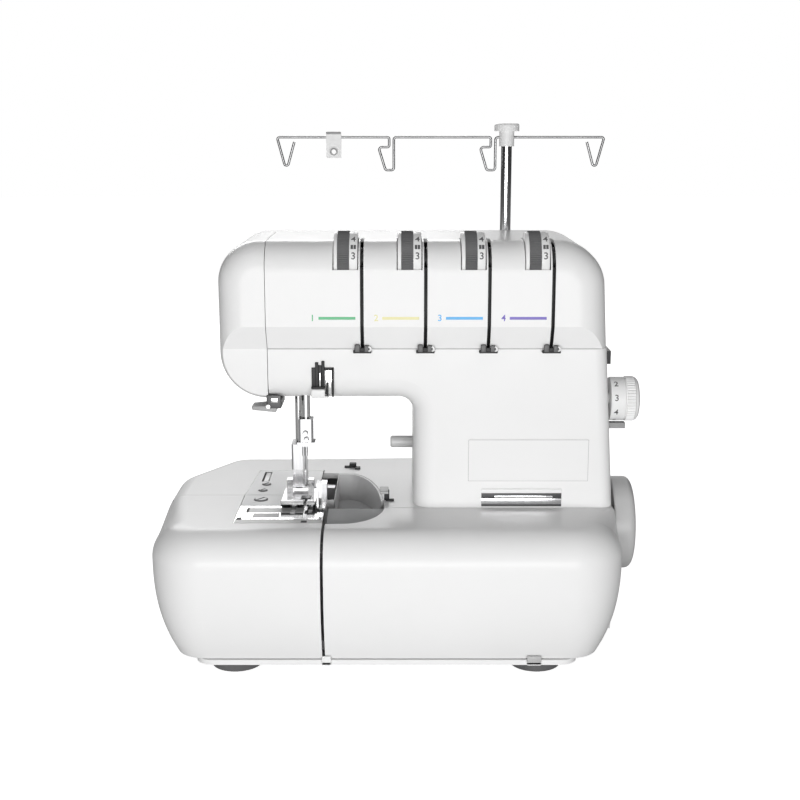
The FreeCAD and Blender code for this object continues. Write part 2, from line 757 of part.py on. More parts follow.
def rear_solid(inset, start, end):
    points = [
        (f"{inset} - head_left", f"{head_low} + {inset}"),
        (f"column_left + {inset}", f"{head_low} + {inset}"),
        (f"column_left + {inset}", f"bed_height + {inset}"),
        (f"column_right - {inset}", f"bed_height + {inset}"),
        (f"{shoulder[0][0]} - {inset}", seam_high),
        (f"{shoulder[1][0]} - 1.4 * {inset}", f"{shoulder[1][1]} - 0.4 * {inset}"),
        (f"{shoulder[2][0]} - 0.4 * {inset}", f"{head_high} - {inset}"),
        (f"{inset} - head_left", f"{head_high} - {inset}"),
    ]
    gap = worth(inset)
    solid = prism("xz", points, (start, end))
    for radius, index in ((32 - gap, 0), (10 + gap, 1), (29 - gap, 5), (31 - gap, 6), (28 - gap, 7)):
        x, z = points[index]
        solid = soften(solid, radius, along="y", x=worth(x), z=worth(z))
    return solid


rear_outer = soften(rear_solid("0", "rear_split + seam / 2", "case_rear"), 6, y="max")
rear_inner = rear_solid("wall", "rear_split - 1", "case_rear - wall")
rear_inner = soften(rear_inner, 3.5, y="max")
rear_foot = box(("column_left + wall + 4", "column_right - wall - 4"),
                ("rear_split - 1", "case_rear - wall - 4"),
                ("bed_height - 1", "bed_height + wall + 1"))
node("rear_cover", cut(rear_outer, rear_inner, rear_foot))


def arm(plane, first, last, half, span, extra=0):
    """Straight bar between two points of a plane."""
    run = [worth(b) - worth(a) for a, b in zip(first, last)]
    length = math.hypot(*run)
    along = [value / length for value in run]
    side = [-along[1] * half, along[0] * half]
    tip = [f"{text} + ({way * extra:.4f})" for text, way in zip(last, along)]
    points = []
    for end, sign in ((first, 1), (tip, 1), (tip, -1), (first, -1)):
        points.append(tuple(f"{text} + ({sign * step:.4f})" for text, step in zip(end, side)))
    return prism(plane, points, span)


# Bed plates, with the slots that the feed teeth and the needles pass through.
tooth_rows = (("-75", "-71.5"), ("-62.6", "-60"))
tooth_runs = (("-34", "-10"), ("-70", "-55"))
feed_travel = 4
tooth_slots = []
for left, right in tooth_rows:
    for front, rear in tooth_runs:
        tooth_slots.append(box((f"{left} - 0.8", f"{right} + 0.8"),
                               (f"{front} - 1.2", f"{rear} + {feed_travel} + 1.2"),
                               (f"{plate_low} - 1", "bed_height + 1")))
needle_slot = box(("-needle_x - 3.5", "-needle_x + 1.6"), ("-needle_y - 1.6", "-needle_y + 1.6"),
                  (f"{plate_low} - 1", "bed_height + 1"))
knife_notch = box(("-plate_right", "-cover_split + 1"), ("-68", "-throat_seam + 1"),
                  (f"{plate_low} - 1", "bed_height + 1"))
throat_plate = box(("-plate_left", "-cover_split - cover_gap / 2 - run_gap"),
                   ("-plate_front", "-throat_seam - 0.1"),
                   (plate_low, "bed_height"))
node("throat_plate", cut(throat_plate, knife_notch, *tooth_slots))
needle_plate = box(("-plate_left", "-plate_right"), ("-throat_seam + 0.1", "-cloth_rear - 0.1"),
                   (plate_low, "bed_height"))
node("needle_plate", cut(needle_plate, needle_slot, *tooth_slots))
bed_plate = prism("xy", [("-plate_left", "seam - cloth_rear"), ("-plate_right", "seam - cloth_rear"),
                         ("-plate_right", "bed_plate_rear"), ("-bed_plate_left", "bed_plate_rear")],
                  (plate_low, "bed_height"))
finger_slot = box(("-102.5", "-97"), ("10", "37"), (f"{plate_low} - 1", "bed_height + 1"))
node("bed_plate", cut(bed_plate, finger_slot, *tooth_slots))

# Lining of the looper well.
liner_floor = s.bed_height - s.well_depth
liner_out = oval_block(12 - s.plate_right, -s.well_right - 0.3, -s.arm_front, s.well_rear - 0.3,
                       liner_floor, s.bed_height - 0.4)
liner_in = oval_block(11 - s.plate_right, -s.well_right - 1.9, -s.arm_front, s.well_rear - 1.9,
                      liner_floor + 1.6, s.bed_height + 1)
looper_room = box(("-plate_right", "0"), ("-arm_front - 1", "-38"),
                  ("bed_height - well_depth - 1", "bed_height + 1"))
node("looper_well_liner", cut(liner_out, liner_in, looper_room))

# Cast frame: floor, back wall, upright, arm, bearing walls and lugs.
back = ("14", "22")
floor_top = f"{pan_deck} + frame_floor"
arm_low = f"{head_low} + 4"
arm_top = f"{head_high} - 12"
bush_lugs = (("7.5", "16"), ("58", "68"))
rocker_lugs = (("-46", "-36"), ("82", "92"))
main_walls = (("0", "8"), ("112", "120"))
frame_parts = [
    box(("-62", "113"), ("-44", "72"), (pan_deck, floor_top)),
    box(("104", "113"), ("-44", "70"), (pan_deck, f"{pan_rim} + 3")),
    box(("-62", "113"), back, (pan_deck, f"{pan_rim} + 8")),
    box(("-62", "-36"), ("-92", "-40"), (pan_deck, floor_top)),
    box(("-109", "125"), back, (f"{pan_rim} + 1", "bed_height - 6")),
    box(("62", "120"), back, (f"{pan_rim} + 1", f"{seam_high} + 10")),
    box(("-80", "100"), back, (arm_low, arm_top)),
    box(("98", "110"), back, (f"{dial_z} - 20", f"{dial_z} + 1")),
    box(("-109", "-91"), ("-plate_front + 2", "-28"), ("bed_height - 9", plate_low)),
    box(("-109", "-91"), ("-32", "16"), ("bed_height - 12", "bed_height - 5")),
    box(("-101", "-89"), ("-36", "16"), ("37", "53")),
    box(("-38", "-22"), ("-38", "-28"), (pan_deck, "50")),
    box(("-44.4", "-38.4"), ("-86", "-74"), (pan_deck, "83")),
    box(("-59", "-55.4"), ("-60", "-53"), (pan_deck, "bed_height - 8")),
    box(("-92", "-76"), ("0", "16"), ("bed_height - 20", "bed_height - 7")),
    box(main_walls[0], ("-46", "16"), (pan_deck, "bed_height - 5")),
    box(main_walls[1], ("-48", "70"), (f"{pan_rim} + 1", "bed_height - 5")),
    box(("-6", "4"), ("-24", "16"), (f"{lifter_z} - 8", f"{lifter_z} + 8")),
    box(rocker_lugs[0], ("-24", "16"), (f"{lifter_z} - 8", f"{rocker_z} + 12")),
    box(rocker_lugs[1], ("-18", "16"), (f"{rocker_z} - 12", f"{rocker_z} + 12")),
]
for low, high in bush_lugs:
    frame_parts.append(box(("-80", "-58.2"), ("-needle_y - 7", "16"),
                           (f"{head_low} + {low}", f"{head_low} + {high}")))
for i in range(4):
    lug_left = f"{i} * dial_pitch - dial_first + slot_offset + 5"
    frame_parts.append(box((lug_left, f"{lug_left} + 3"), ("-dial_y - 5", "16"),
                           (f"{dial_z} - 10", f"{dial_z} + 4.6")))
bores = [
    rod("x", ("-1", "121"), ("-main_y", "main_z"), "main_radius + 2.5"),
    rod("x", ("-47", "93"), (rocker_y, rocker_z), "rocker_radius + 2.5"),
    rod("x", ("-47", "5"), ("-lifter_y", lifter_z), "lifter_radius + pin_gap"),
    rod("x", ("111", "121"), ("motor_y", "motor_z"), "motor_shaft_radius + 3"),
    rod("z", (f"{head_low} + 2", f"{head_low} + 70"), ("-needle_x", "-needle_y"), "needle_bar_radius + 2.5"),
    rod("z", (f"{head_low} + 2", f"{head_low} + 70"), ("-presser_x", "-presser_y"), "presser_bar_radius + 2"),
    rod("y", ("-40", "-27"), ("-30", "40"), "3"),
    rod("y", ("-37", "-10"), ("-95", "45"), "3"),
    rod("x", ("-45", "-38"), ("-80", "76"), "3"),
    box(("-plate_right + 10", "-well_right + 2"), ("13", "23"),
        ("bed_height - well_depth - 1", "bed_height")),
]
feed_bars = (("-83", "-79"), ("-88.5", "-84.5"))
for left, right in feed_bars:
    bores.append(box((f"{left} - 0.1", f"{right} + 0.1"), ("-1", "23"),
                     ("bed_height - 16.1", "bed_height - 10.9")))
for i in range(4):
    lug_left = f"{i} * dial_pitch - dial_first + slot_offset + 5"
    bores.append(rod("x", (f"{lug_left} - 1", f"{lug_left} + 4"), ("-dial_y", dial_z), "stud_radius"))
node("machine_frame", cut(fuse(*frame_parts), *bores))

# Bearing bushes of the shafts and bars.
bushes = []
for span in main_walls:
    bushes.append(tube("x", span, ("-main_y", "main_z"), "main_radius + 2.5", "main_radius + pin_gap"))
for span in rocker_lugs:
    bushes.append(tube("x", span, (rocker_y, rocker_z), "rocker_radius + 2.5", "rocker_radius + pin_gap"))
for low, high in bush_lugs:
    span = (f"{head_low} + {low}", f"{head_low} + {high}")
    bushes.append(tube("z", span, ("-needle_x", "-needle_y"), "needle_bar_radius + 2.5",
                       "needle_bar_radius + pin_gap"))
    bushes.append(tube("z", span, ("-presser_x", "-presser_y"), "presser_bar_radius + 2",
                       "presser_bar_radius + pin_gap"))
node("shaft_bushes", group(*bushes))

# Main shaft with its eccentrics, and the handwheel with the belt pulley on its hub.
cam_radius = 14
shaft_parts = [rod("x", ("-4", "wheel_face - 6"), ("-main_y", "main_z"), "main_radius"),
               rod("x", ("crank_x - 2", "crank_x + 7"), ("-main_y", "main_z + crank_rise"), cam_radius),
               rod("x", ("20", "28"), ("-main_y + 5", "main_z"), "11"),
               rod("x", ("40", "48"), ("-main_y - 5", "main_z"), "11")]
node("main_shaft", fuse(*shaft_parts))
wheel_axis = ("-main_y", "main_z")
wheel_rim = rod("x", ("wheel_face - wheel_width", "wheel_face"), wheel_axis, "wheel_radius")
wheel_rim = soften(wheel_rim, 4, x="max")
wheel_dish = rod("x", ("wheel_face - 2", "wheel_face + 1"), wheel_axis, "wheel_radius - 9")
wheel_hub = rod("x", ("pulley_x + 1", "wheel_face - wheel_width + 1"), wheel_axis, "9")
wheel_pulley = rod("x", ("pulley_x", "pulley_x + pulley_width"), wheel_axis, "pulley_radius")
wheel_bore = rod("x", ("pulley_x - 1", "wheel_face - 6"), wheel_axis, "main_radius")
node("handwheel", cut(fuse(wheel_rim, wheel_hub, wheel_pulley), wheel_dish, wheel_bore))

# Motor behind the frame wall, its pulley and the belt.
motor_axis = ("motor_y", "motor_z")
motor_can = soften(rod("x", ("44", "112"), motor_axis, "motor_radius"), 3, x="min")
node("motor", cut(motor_can, rod("x", ("60", "113"), motor_axis, "motor_shaft_radius + pin_gap")))
node("motor_pulley", fuse(rod("x", ("62", "pulley_x + pulley_width"), motor_axis, "motor_shaft_radius"),
                          rod("x", ("pulley_x", "pulley_x + pulley_width"), motor_axis,
                              "motor_pulley_radius")))


def belt_loop(grow):
    """Face bounded by the open belt round both pulleys."""
    first = Vector(s.pulley_x + 0.5, -s.main_y, s.main_z)
    last = Vector(s.pulley_x + 0.5, s.motor_y, s.motor_z)
    big = s.pulley_radius + grow
    small = s.motor_pulley_radius + grow
    run = last - first
    lean = math.atan2(run.z, run.y)
    spread = math.acos((big - small) / run.Length)

    def point(center, radius, angle):
        return center + Vector(0, radius * math.cos(angle), radius * math.sin(angle))
    upper = lean + spread
    lower = lean - spread
    edges = [
        Part.makeLine(point(first, big, upper), point(last, small, upper)),
        Part.Arc(point(last, small, upper), point(last, small, lean), point(last, small, lower)).toShape(),
        Part.makeLine(point(last, small, lower), point(first, big, lower)),
        Part.Arc(point(first, big, lower), point(first, big, lean + math.pi),
                 point(first, big, upper)).toShape(),
    ]
    return Part.Face(Part.Wire(edges)).extrude(Vector(s.pulley_width - 1, 0, 0))


belt_outer = doc.addObject("Part::Feature", "belt_outer")
belt_outer.Shape = belt_loop(s.belt_thick + 0.1)
belt_inner = doc.addObject("Part::Feature", "belt_inner")
belt_inner.Shape = belt_loop(0.1)
node("drive_belt", cut(belt_outer, belt_inner))

# Rocker shaft: needle lever with a forked end, and the crank arm with its pin.
rocker_axis = (rocker_y, rocker_z)
pin_place = ("-needle_y", f"{rocker_z} + lever_rise")
crank_pin = (f"{rocker_y} - crank_reach", f"{rocker_z} + crank_rise")
lever_span = ("-needle_x + 8.7", "-needle_x + 13.7")
lever = arm("yz", rocker_axis, pin_place, 5, lever_span, extra=5)
fork_root = (f"{pin_place[0]} + 0.07 * lever_reach", f"{pin_place[1]} - 0.07 * lever_rise")
fork_tip = (f"{pin_place[0]} - lever_reach", f"{pin_place[1]} + lever_rise")
fork_span = ("-needle_x + 8", "-needle_x + 14.5")
fork_gap = arm("yz", fork_root, fork_tip, s.lever_pin + 0.5, fork_span)
fork_seat = rod("x", fork_span, fork_root, "lever_pin + 0.5")
rocker_parts = [rod("x", ("-needle_x + 6.8", "crank_x + 1"), rocker_axis, "rocker_radius"),
                rod("x", lever_span, rocker_axis, "9"),
                rod("x", ("crank_x - 4", "crank_x"), rocker_axis, "9"),
                arm("yz", rocker_axis, crank_pin, 5, ("crank_x - 4", "crank_x")),
                rod("x", ("crank_x - 4", "crank_x"), crank_pin, "5"),
                rod("x", ("crank_x - 1", "crank_x + 6"), crank_pin, "2.5")]
node("rocker_shaft", fuse(cut(lever, fork_gap, fork_seat), *rocker_parts))

# Connecting rod: its eye hangs on the crank pin, its foot stays clear of the eccentric.
rod_span = ("crank_x + 0.6", "crank_x + 4.6")
rod_foot = f"main_z + 3 * crank_rise + {cam_radius} + 1"
rod_eye = rod("x", rod_span, crank_pin, "7")
rod_bar = box(rod_span, (f"{crank_pin[0]} - 4", f"{crank_pin[0]} + 4"),
              (f"{rod_foot} + 1", f"{crank_pin[1]} - 3"))
rod_pad = box(("crank_x - 2", "crank_x + 7"), ("-main_y - 10", "-main_y + 10"), (rod_foot, f"{rod_foot} + 4"))
eye_slot = [rod("x", ("crank_x", "crank_x + 5"), (f"{crank_pin[0]} - {shift}", crank_pin[1]), "3")
            for shift in ("1.4", "0")]
eye_gap = box(("crank_x", "crank_x + 5"), (f"{crank_pin[0]} - 1.4", crank_pin[0]),
              (f"{crank_pin[1]} - 3", f"{crank_pin[1]} + 3"))
node("connecting_rod", cut(fuse(rod_eye, rod_bar, rod_pad), *eye_slot, eye_gap))

# Needle bar with its driving stud, the clamp and the two needles.
bar_axis = ("-needle_x", "-needle_y")
stud_block = box(("-needle_x - 5.5", "-needle_x + 5.5"), ("-needle_y - 5.5", "-needle_y + 5.5"),
                 (f"{pin_place[1]} - 5", f"{pin_place[1]} + 5"))
stud_pin = rod("x", ("-needle_x + 5", "-needle_x + 14.2"), pin_place, "lever_pin")
node("needle_bar", fuse(rod("z", ("clamp_low + 10", f"{head_low} + 98"), bar_axis, "needle_bar_radius"),
                        soften(stud_block, 1, along="z"), stud_pin))
clamp_block = box(("-needle_x - clamp_width / 2", "-needle_x + clamp_width / 2"),
                  ("-needle_y - 6", "-needle_y + 4.6"),
                  ("clamp_low", "clamp_low + clamp_height"))
clamp_block = soften(clamp_block, 2, along="z")
clamp_lip = box(("-needle_x - clamp_width / 2 - 1", "-needle_x + clamp_width / 2 + 1"),
                ("-needle_y - 7", "-needle_y + 4.6"),
                ("clamp_low", "clamp_low + 3"))
needle_places = (("-needle_x - needle_gauge", "-needle_y"), ("-needle_x", "-needle_y"))
clamp_bores = [rod("z", ("clamp_low + 10", "clamp_low + clamp_height + 1"), bar_axis, "needle_bar_radius")]
needle_group = []
for center in needle_places:
    clamp_bores.append(rod("z", ("clamp_low - 1", "clamp_low + 9"), center, "0.95"))
    needle_group.append(fuse(rod("z", ("clamp_low - 8", "clamp_low + 9"), center, "0.95"),
                             rod("z", ("clamp_low - needle_drop + 4", "clamp_low - 7"), center, "0.5"),
                             cone("z", ("clamp_low - needle_drop", "clamp_low - needle_drop + 4"), center,
                                  "0.1", "0.5")))
node("needle_clamp", cut(fuse(clamp_block, clamp_lip), *clamp_bores))
node("needles", group(*needle_group))

# Presser bar with its lifting collar, the spring, the foot holder and the foot.
foot_axis = ("-presser_x", "-presser_y")
collar_low = f"{lifter_z} + 2.3"
collar_top = f"{lifter_z} + 9.3"
collar = box(("-presser_x - 8.3", "-presser_x + 4.6"), ("-presser_y - 5.2", "-presser_y + 5.2"),
             (collar_low, collar_top))
node("presser_bar", fuse(rod("z", ("bed_height + 27", f"{head_low} + 74"), foot_axis, "presser_bar_radius"),
                         soften(collar, 1, along="z")))
spring_wire = 0.6
spring_turns = 6.5
spring_radius = s.presser_bar_radius + 1.3
spring_low = worth(collar_top) + spring_wire + 0.05
spring_high = worth(f"{head_low} + {bush_lugs[1][0]}") - spring_wire - 0.05
coil = doc.addObject("Part::Helix", "coil")
coil.Pitch = (spring_high - spring_low) / spring_turns
coil.Height = spring_high - spring_low
coil.Radius = spring_radius
coil.Placement.Base = Vector(-s.presser_x, -s.presser_y, spring_low)
coil_end = doc.addObject("Part::Feature", "coil_end")
rise = math.atan2(coil.Pitch.Value, 2 * math.pi * spring_radius)
coil_end.Shape = Part.Wire(Part.makeCircle(spring_wire,
                                           Vector(spring_radius - s.presser_x, -s.presser_y, spring_low),
                                           Vector(0, math.cos(rise), math.sin(rise))))
spring = doc.addObject("Part::Sweep", "spring")
spring.Sections = [coil_end]
spring.Spine = (coil, [])
spring.Solid = True
spring.Frenet = True
node("presser_spring", spring)
print(f"spring: least gap between turns {coil.Pitch.Value - 2 * spring_wire:.2f} mm")

sole_low = "bed_height + foot_gap"
pivot = ("-presser_y + 9", "bed_height + 8.5")
holder_clamp = box(("-presser_x - 5.2", "-presser_x + 5.2"), ("-presser_y - 5", "-presser_y + 6"),
                   ("bed_height + 22", "bed_height + 40"))
holder_shank = box(("-presser_x - 5.2", "-presser_x + 5.2"), ("-presser_y + 5", "-presser_y + 12"),
                   ("bed_height + 6.4", "bed_height + 40"))
holder_cut = [rod("z", ("bed_height + 27", "bed_height + 41"), foot_axis, "presser_bar_radius"),
              rod("x", ("-presser_x - 6", "-presser_x + 6"), pivot, "1.5 + pin_gap")]
node("presser_foot_holder", cut(fuse(soften(holder_clamp, 1.5, along="z"), holder_shank), *holder_cut))
sole = prism("yz", [("-62", f"{sole_low} + 3"), ("-57", sole_low), ("-22", sole_low),
                    ("-22", f"{sole_low} + 3"),
                    ("-57", f"{sole_low} + 3"), ("-62", f"{sole_low} + 5.5")], ("-82", "-58.4"))
sole_slot = box(("-needle_x - 4.4", "-needle_x + 2.6"), ("-needle_y - 5", "-needle_y + 5"),
                ("bed_height", "bed_height + 8"))
toe_slot = box(("-needle_x - 1.6", "-needle_x + 0.6"), ("-64", "-needle_y"), ("bed_height", "bed_height + 8"))
foot_lugs = []
for left, right in (("-presser_x - 9.6", "-presser_x - 5.6"), ("-presser_x + 5.6", "-presser_x + 9.6")):
    foot_lugs.append(box((left, right), ("-presser_y + 4", "-presser_y + 11"),
                         (f"{sole_low} + 1", "bed_height + 12")))
foot_pin = rod("x", ("-presser_x - 9", "-presser_x + 9"), pivot, "1.5")
node("presser_foot", fuse(cut(sole, sole_slot, toe_slot), foot_pin, *foot_lugs))

# Lifter: shaft in the arm, finger under the collar, grip in the throat.
lifter_axis = ("-lifter_y", lifter_z)
grip_axis = ("0", "grip_height")
finger = box(("-presser_x - 8.3", "-presser_x - 3.5"), ("-presser_y + 0.5", "-lifter_y"),
             (f"{lifter_z} - 3", f"{lifter_z} + 2"))
grip = soften(rod("x", ("column_left - grip_reach", "column_left + 11"), grip_axis, "grip_radius"), 1.5,
              x="min")
node("presser_lifter", fuse(rod("x", ("-presser_x - 8.3", "column_left + 11"), lifter_axis,
                                "lifter_radius"), finger,
                            rod("x", ("column_left + 5", "column_left + 11"), lifter_axis, "6"),
                            arm("yz", lifter_axis, grip_axis, 4, ("column_left + 5", "column_left + 11")),
                            grip))

# Loopers on pins that run front to back.
low_pivot = ("-30", "40")
high_pivot = ("-95", "45")
low_bend = ("-44", "78")
node("lower_looper", cut(fuse(rod("y", ("-50", "-40"), low_pivot, "6.5"),
                              arm("xz", low_pivot, low_bend, 3.5, ("-50", "-46")),
                              rod("y", ("-50", "-46"), low_bend, "3.5"),
                              arm("xz", low_bend, ("-58", "90"), 1.6, ("-50", "-48"))),
                         rod("y", ("-51", "-39"), low_pivot, "3 + pin_gap")))
high_bend = ("-52", "64")
high_knee = ("-47", "84")
node("upper_looper", cut(fuse(rod("y", ("-44", "-37"), high_pivot, "7"),
                              arm("xz", high_pivot, high_bend, 3.5, ("-44", "-40.5")),
                              rod("y", ("-44", "-40.5"), high_bend, "3.5"),
                              arm("xz", high_bend, high_knee, 2.4, ("-44", "-41")),
                              rod("y", ("-44", "-41"), high_knee, "2.4"),
                              arm("xz", high_knee, ("-56", "107"), 1.3, ("-44", "-42"))),
                         rod("y", ("-45", "-36"), high_pivot, "3 + pin_gap")))

# Knives: the lower one fixed, the upper one on a rocking arm.
knife_pivot = ("-80", "76")
node("lower_knife", box(("-55.4", "-54"), ("-60", "-51.5"), ("bed_height - 16", "bed_height")))
node("upper_knife", fuse(box(("-57.2", "-55.8"), ("-61", "-50"), ("bed_height + 0.6", "bed_height + 18")),
                         box(("-57.2", "-53.6"), ("-61", "-53"), ("bed_height + 8", "bed_height + 18"))))
knife_upright = box(("-53.6", "-50"), ("-63", "-54"), ("70", "bed_height + 19"))
node("upper_knife_arm", cut(fuse(rod("x", ("-53.6", "-45"), knife_pivot, "6"),
                                 arm("yz", knife_pivot, ("-58", "76"), 4, ("-53.6", "-50")), knife_upright),
                            rod("x", ("-55", "-44"), knife_pivot, "3 + pin_gap")))
pins = [rod("y", ("-52", "-28"), low_pivot, "3"), rod("y", ("-46", "-12"), high_pivot, "3"),
        rod("x", ("-55", "-38.4"), knife_pivot, "3"), swing_pin]
node("pivot_pins", group(*pins))

# Feed dogs: toothed blocks on bars that slide in the frame.
tooth_pitch = 2
feed_parts = []
for (left, right), (front, rear) in zip(feed_bars, tooth_runs):
    parts = [box((left, right), (front, "18"), ("bed_height - 16", "bed_height - 11")),
             box((left, tooth_rows[1][1]), (front, rear), ("bed_height - 11.5", "bed_height - 5"))]
    for row_left, row_right in tooth_rows:
        count = int((worth(rear) - worth(front)) / tooth_pitch)
        start = f"({front})"
        points = [(start, "bed_height - 6")]
        for k in range(count):
            points.append((f"{start} + {k * tooth_pitch}", "bed_height - 0.8"))
            points.append((f"{start} + {(k + 1) * tooth_pitch} - 0.2", "bed_height + 0.3"))
            points.append((f"{start} + {(k + 1) * tooth_pitch}", "bed_height - 0.8"))
        points.append((f"{start} + {count * tooth_pitch}", "bed_height - 6"))
        unique = [points[0]]
        for point in points[1:]:
            if [worth(v) for v in point] != [worth(v) for v in unique[-1]]:
                unique.append(point)
        parts.append(prism("yz", unique, (row_left, row_right)))
    feed_parts.append(fuse(*parts))
node("feed_dogs", group(*feed_parts))

# Tension dials on their studs, with a pair of discs at each slot.
units = []
for i in range(4):
    left = f"{i} * dial_pitch - dial_first"
    center = ("-dial_y", dial_z)
    slot = f"{left} + slot_offset"
    dial = fuse(rod("x", (left, f"{left} + dial_width"), center, "dial_radius - 0.8"),
                rod("x", (f"{left} + 2.4", f"{left} + 9.6"), center, "dial_radius"))
    node(f"tension_dial_{i + 1}", cut(dial, rod("x", (f"{left} - 1", f"{left} + dial_width + 1"), center,
                                               "stud_radius + pin_gap")))
    units.append(fuse(rod("x", (f"{left} - 2", f"{slot} + 9"), center, "stud_radius"),
                      rod("x", (f"{slot} - 1.5", f"{slot} - 0.5"), center, "8"),
                      rod("x", (f"{slot} + 0.5", f"{slot} + 1.5"), center, "8")))
node("tension_units", group(*units))

# Thread guides on the front of the arm and the cutter under the head.
guides = []
for i in range(4):
    slot = f"{i} * dial_pitch - dial_first + slot_offset"
    shelf = box((f"{slot} - 6.3", f"{slot} + 6.3"), ("-arm_front - 4.8", "-arm_front"),
                (f"{seam_high} - 2.4", f"{seam_high} - 0.8"))
    hook = box((f"{slot} - 6.3", f"{slot} + 6.3"), ("-arm_front - 4.8", "-arm_front - 3.6"),
               (f"{seam_high} - 2.4", f"{seam_high} + 3.8"))
    guides.append(fuse(shelf, hook))
node("slot_thread_guides", group(*guides))
guide_plate = box(("-60", "-44.6"), ("-arm_front - 1.4", "-arm_front"),
                  (f"{head_low} + 15", f"{head_low} + 27"))
guide_drop = box(("-60", "-44.6"), ("-arm_front - 1.4", "-arm_front - 0.2"),
                 (f"{head_low} + 2", f"{head_low} + 16"))
guide_shelf = box(("-60", "-44.6"), ("-arm_front - 6", "-arm_front - 0.2"),
                  (f"{head_low} + 2", f"{head_low} + 3.4"))
guide_eye = rod("z", (f"{head_low} + 1", f"{head_low} + 5"), ("-50", "-arm_front - 3.6"), "1.2")
guide_post = rod("y", ("-arm_front - 5", "-arm_front - 1"), ("-56", f"{head_low} + 21"), "1.6")
node("head_thread_guide", cut(fuse(guide_plate, guide_drop, guide_shelf, guide_post), guide_eye))
cutter_block = box(("-face_seam + 1", "-face_seam + 9"), ("-43", "-28"), (f"{head_low} - 6", head_low))
cutter_nose = prism("xy", [("-face_seam - 11.5", "-50"), ("-face_seam - 4", "-54"),
                           ("-face_seam + 6", "-54"), ("-face_seam + 6", "-32"),
                           ("-face_seam - 4", "-32")], (f"{head_low} - 10", f"{head_low} - 6"))
node("thread_cutter", fuse(cutter_block, cutter_nose))

# Name plate without a name, and the bright plate above the looper cover.
name_plate = box(("46.5", "129"), ("-arm_front - 0.8", "-arm_front"),
                 ("bed_height + 19", "bed_height + 48.6"))
node("name_plate", soften(name_plate, 2, along="y"))
finger_plate = box(("56", "111"), ("-arm_front - 1", "-arm_front"), ("bed_height + 1.2", "bed_height + 13.6"))
node("finger_plate", soften(finger_plate, 2.4, along="y"))

# Thread mast: tube in the spool stand, sliding rod, cap, guide wire and its clip.
mast_axis = ("mast_x", "mast_y")
stand_top = "stand_height + stand_thick"
node("mast_tube", tube("z", ("bed_height + 10", f"{head_high} - 7"), mast_axis,
                       "mast_radius + pin_gap + mast_wall",
                       "mast_radius + pin_gap"))
mast_top = "(wire_height - mast_seat)"
node("mast_rod", rod("z", (f"{mast_top} - mast_length", mast_top), mast_axis, "mast_radius"))
cap_flange = soften(rod("z", ("wire_height + 4.4", "wire_height + 9.9"), mast_axis, "9.2"), 1.6, z="max")
cap_neck = rod("z", ("wire_height - 6.6", "wire_height + 5"), mast_axis, "5.55")
cap_bore = rod("z", ("wire_height - 8", mast_top), mast_axis, "mast_radius")
cap_hole = rod("x", ("mast_x - 8", "mast_x + 8"), ("mast_y", "wire_height"), "wire_radius")
node("mast_cap", cut(fuse(cap_flange, cap_neck), cap_bore, cap_hole))


def hook_run(x):
    """Corners of one open thread hook whose up leg stands at x."""
    level = s.wire_height
    return [(x - 3.4, level), (x - 3.4, level - 7.2), (x - 11.4, level - 7.2), (x - 6.2, level - 24),
            (x, level - 24), (x, level)]


eyelet_left = -s.spool_first
eyelet_right = eyelet_left + 3 * s.spool_pitch
level = s.wire_height
run = [(eyelet_left + 6.4, level - 3.4), (eyelet_left + 0.2, level - 25), (eyelet_left - 6.4, level)]
run += hook_run(eyelet_left + s.spool_pitch + 3.6)
run += hook_run(eyelet_left + 2 * s.spool_pitch + 2.4)
run += [(eyelet_right + 6.4, level), (eyelet_right - 0.2, level - 25), (eyelet_right - 6.4, level - 3.4)]
bends = {i: 1.6 for i in range(len(run))}
for first in (3, 9):
    for i in range(first, first + 6):
        bends[i] = 1.9 if i - first not in (0, 1) else 1.5
node("guide_wire", swept([Vector(x, s.mast_y, z) for x, z in run], s.wire_radius, bends))
clip = [box(("-54.7", "-43.6"), ("mast_y + wire_radius", "mast_y + wire_radius + 1"),
            ("wire_height - 15.2", "wire_height + 4")),
        box(("-54.7", "-43.6"), ("mast_y - wire_radius - 1", "mast_y + wire_radius + 1"),
            ("wire_height + wire_radius", "wire_height + 4")),
        box(("-54.7", "-43.6"), ("mast_y - wire_radius - 1", "mast_y - wire_radius"),
            ("wire_height - 4", "wire_height + 4"))]
clip_hole = rod("y", ("mast_y - 4", "mast_y + 4"), ("-49.1", "wire_height - 10.6"), "1.7")
node("wire_clip_plate", cut(fuse(*clip), clip_hole))

# Spool stand behind the head, with four spool pins.
stand = box(("-stand_left", "stand_right"), ("case_rear", "stand_rear"), ("stand_height", stand_top))
stand = soften(stand, 16, along="z", y="max")
stand_hollow = box(("wall - stand_left", "stand_right - wall"), ("case_rear + wall", "stand_rear - wall"),
                   ("stand_height - 1", f"{stand_top} - wall"))
stand_hollow = soften(stand_hollow, 13.5, along="z", y="max")
stand_parts = [rod("z", ("stand_height - 8", stand_top), mast_axis, "mast_radius + mast_wall + 5")]
pin_holes = [rod("z", ("stand_height - 9", f"{stand_top} + 1"), mast_axis,
                 "mast_radius + pin_gap + mast_wall")]
spools = []
for i in range(4):
    center = (f"{i} * spool_pitch - spool_first", "spool_y")
    stand_parts.append(rod("z", ("stand_height", stand_top), center, "7"))
    pin_holes.append(rod("z", ("stand_height - 1", f"{stand_top} + 1"), center, "spool_radius"))
    spools.append(fuse(soften(rod("z", ("stand_height", "spool_top"), center, "spool_radius"), 1, z="max"),
                       cut(rod("z", (stand_top, f"{stand_top} + 2"), center, "10"),
                           rod("z", (f"{stand_top} - 1", f"{stand_top} + 3"), center, "spool_radius - 0.5"))))
for x in ("-60", "20", "100"):
    stand_parts.append(box((x, f"{x} + 4"), ("case_rear", "case_rear + 40"),
                           ("stand_height - 14", f"{stand_top} - 1")))
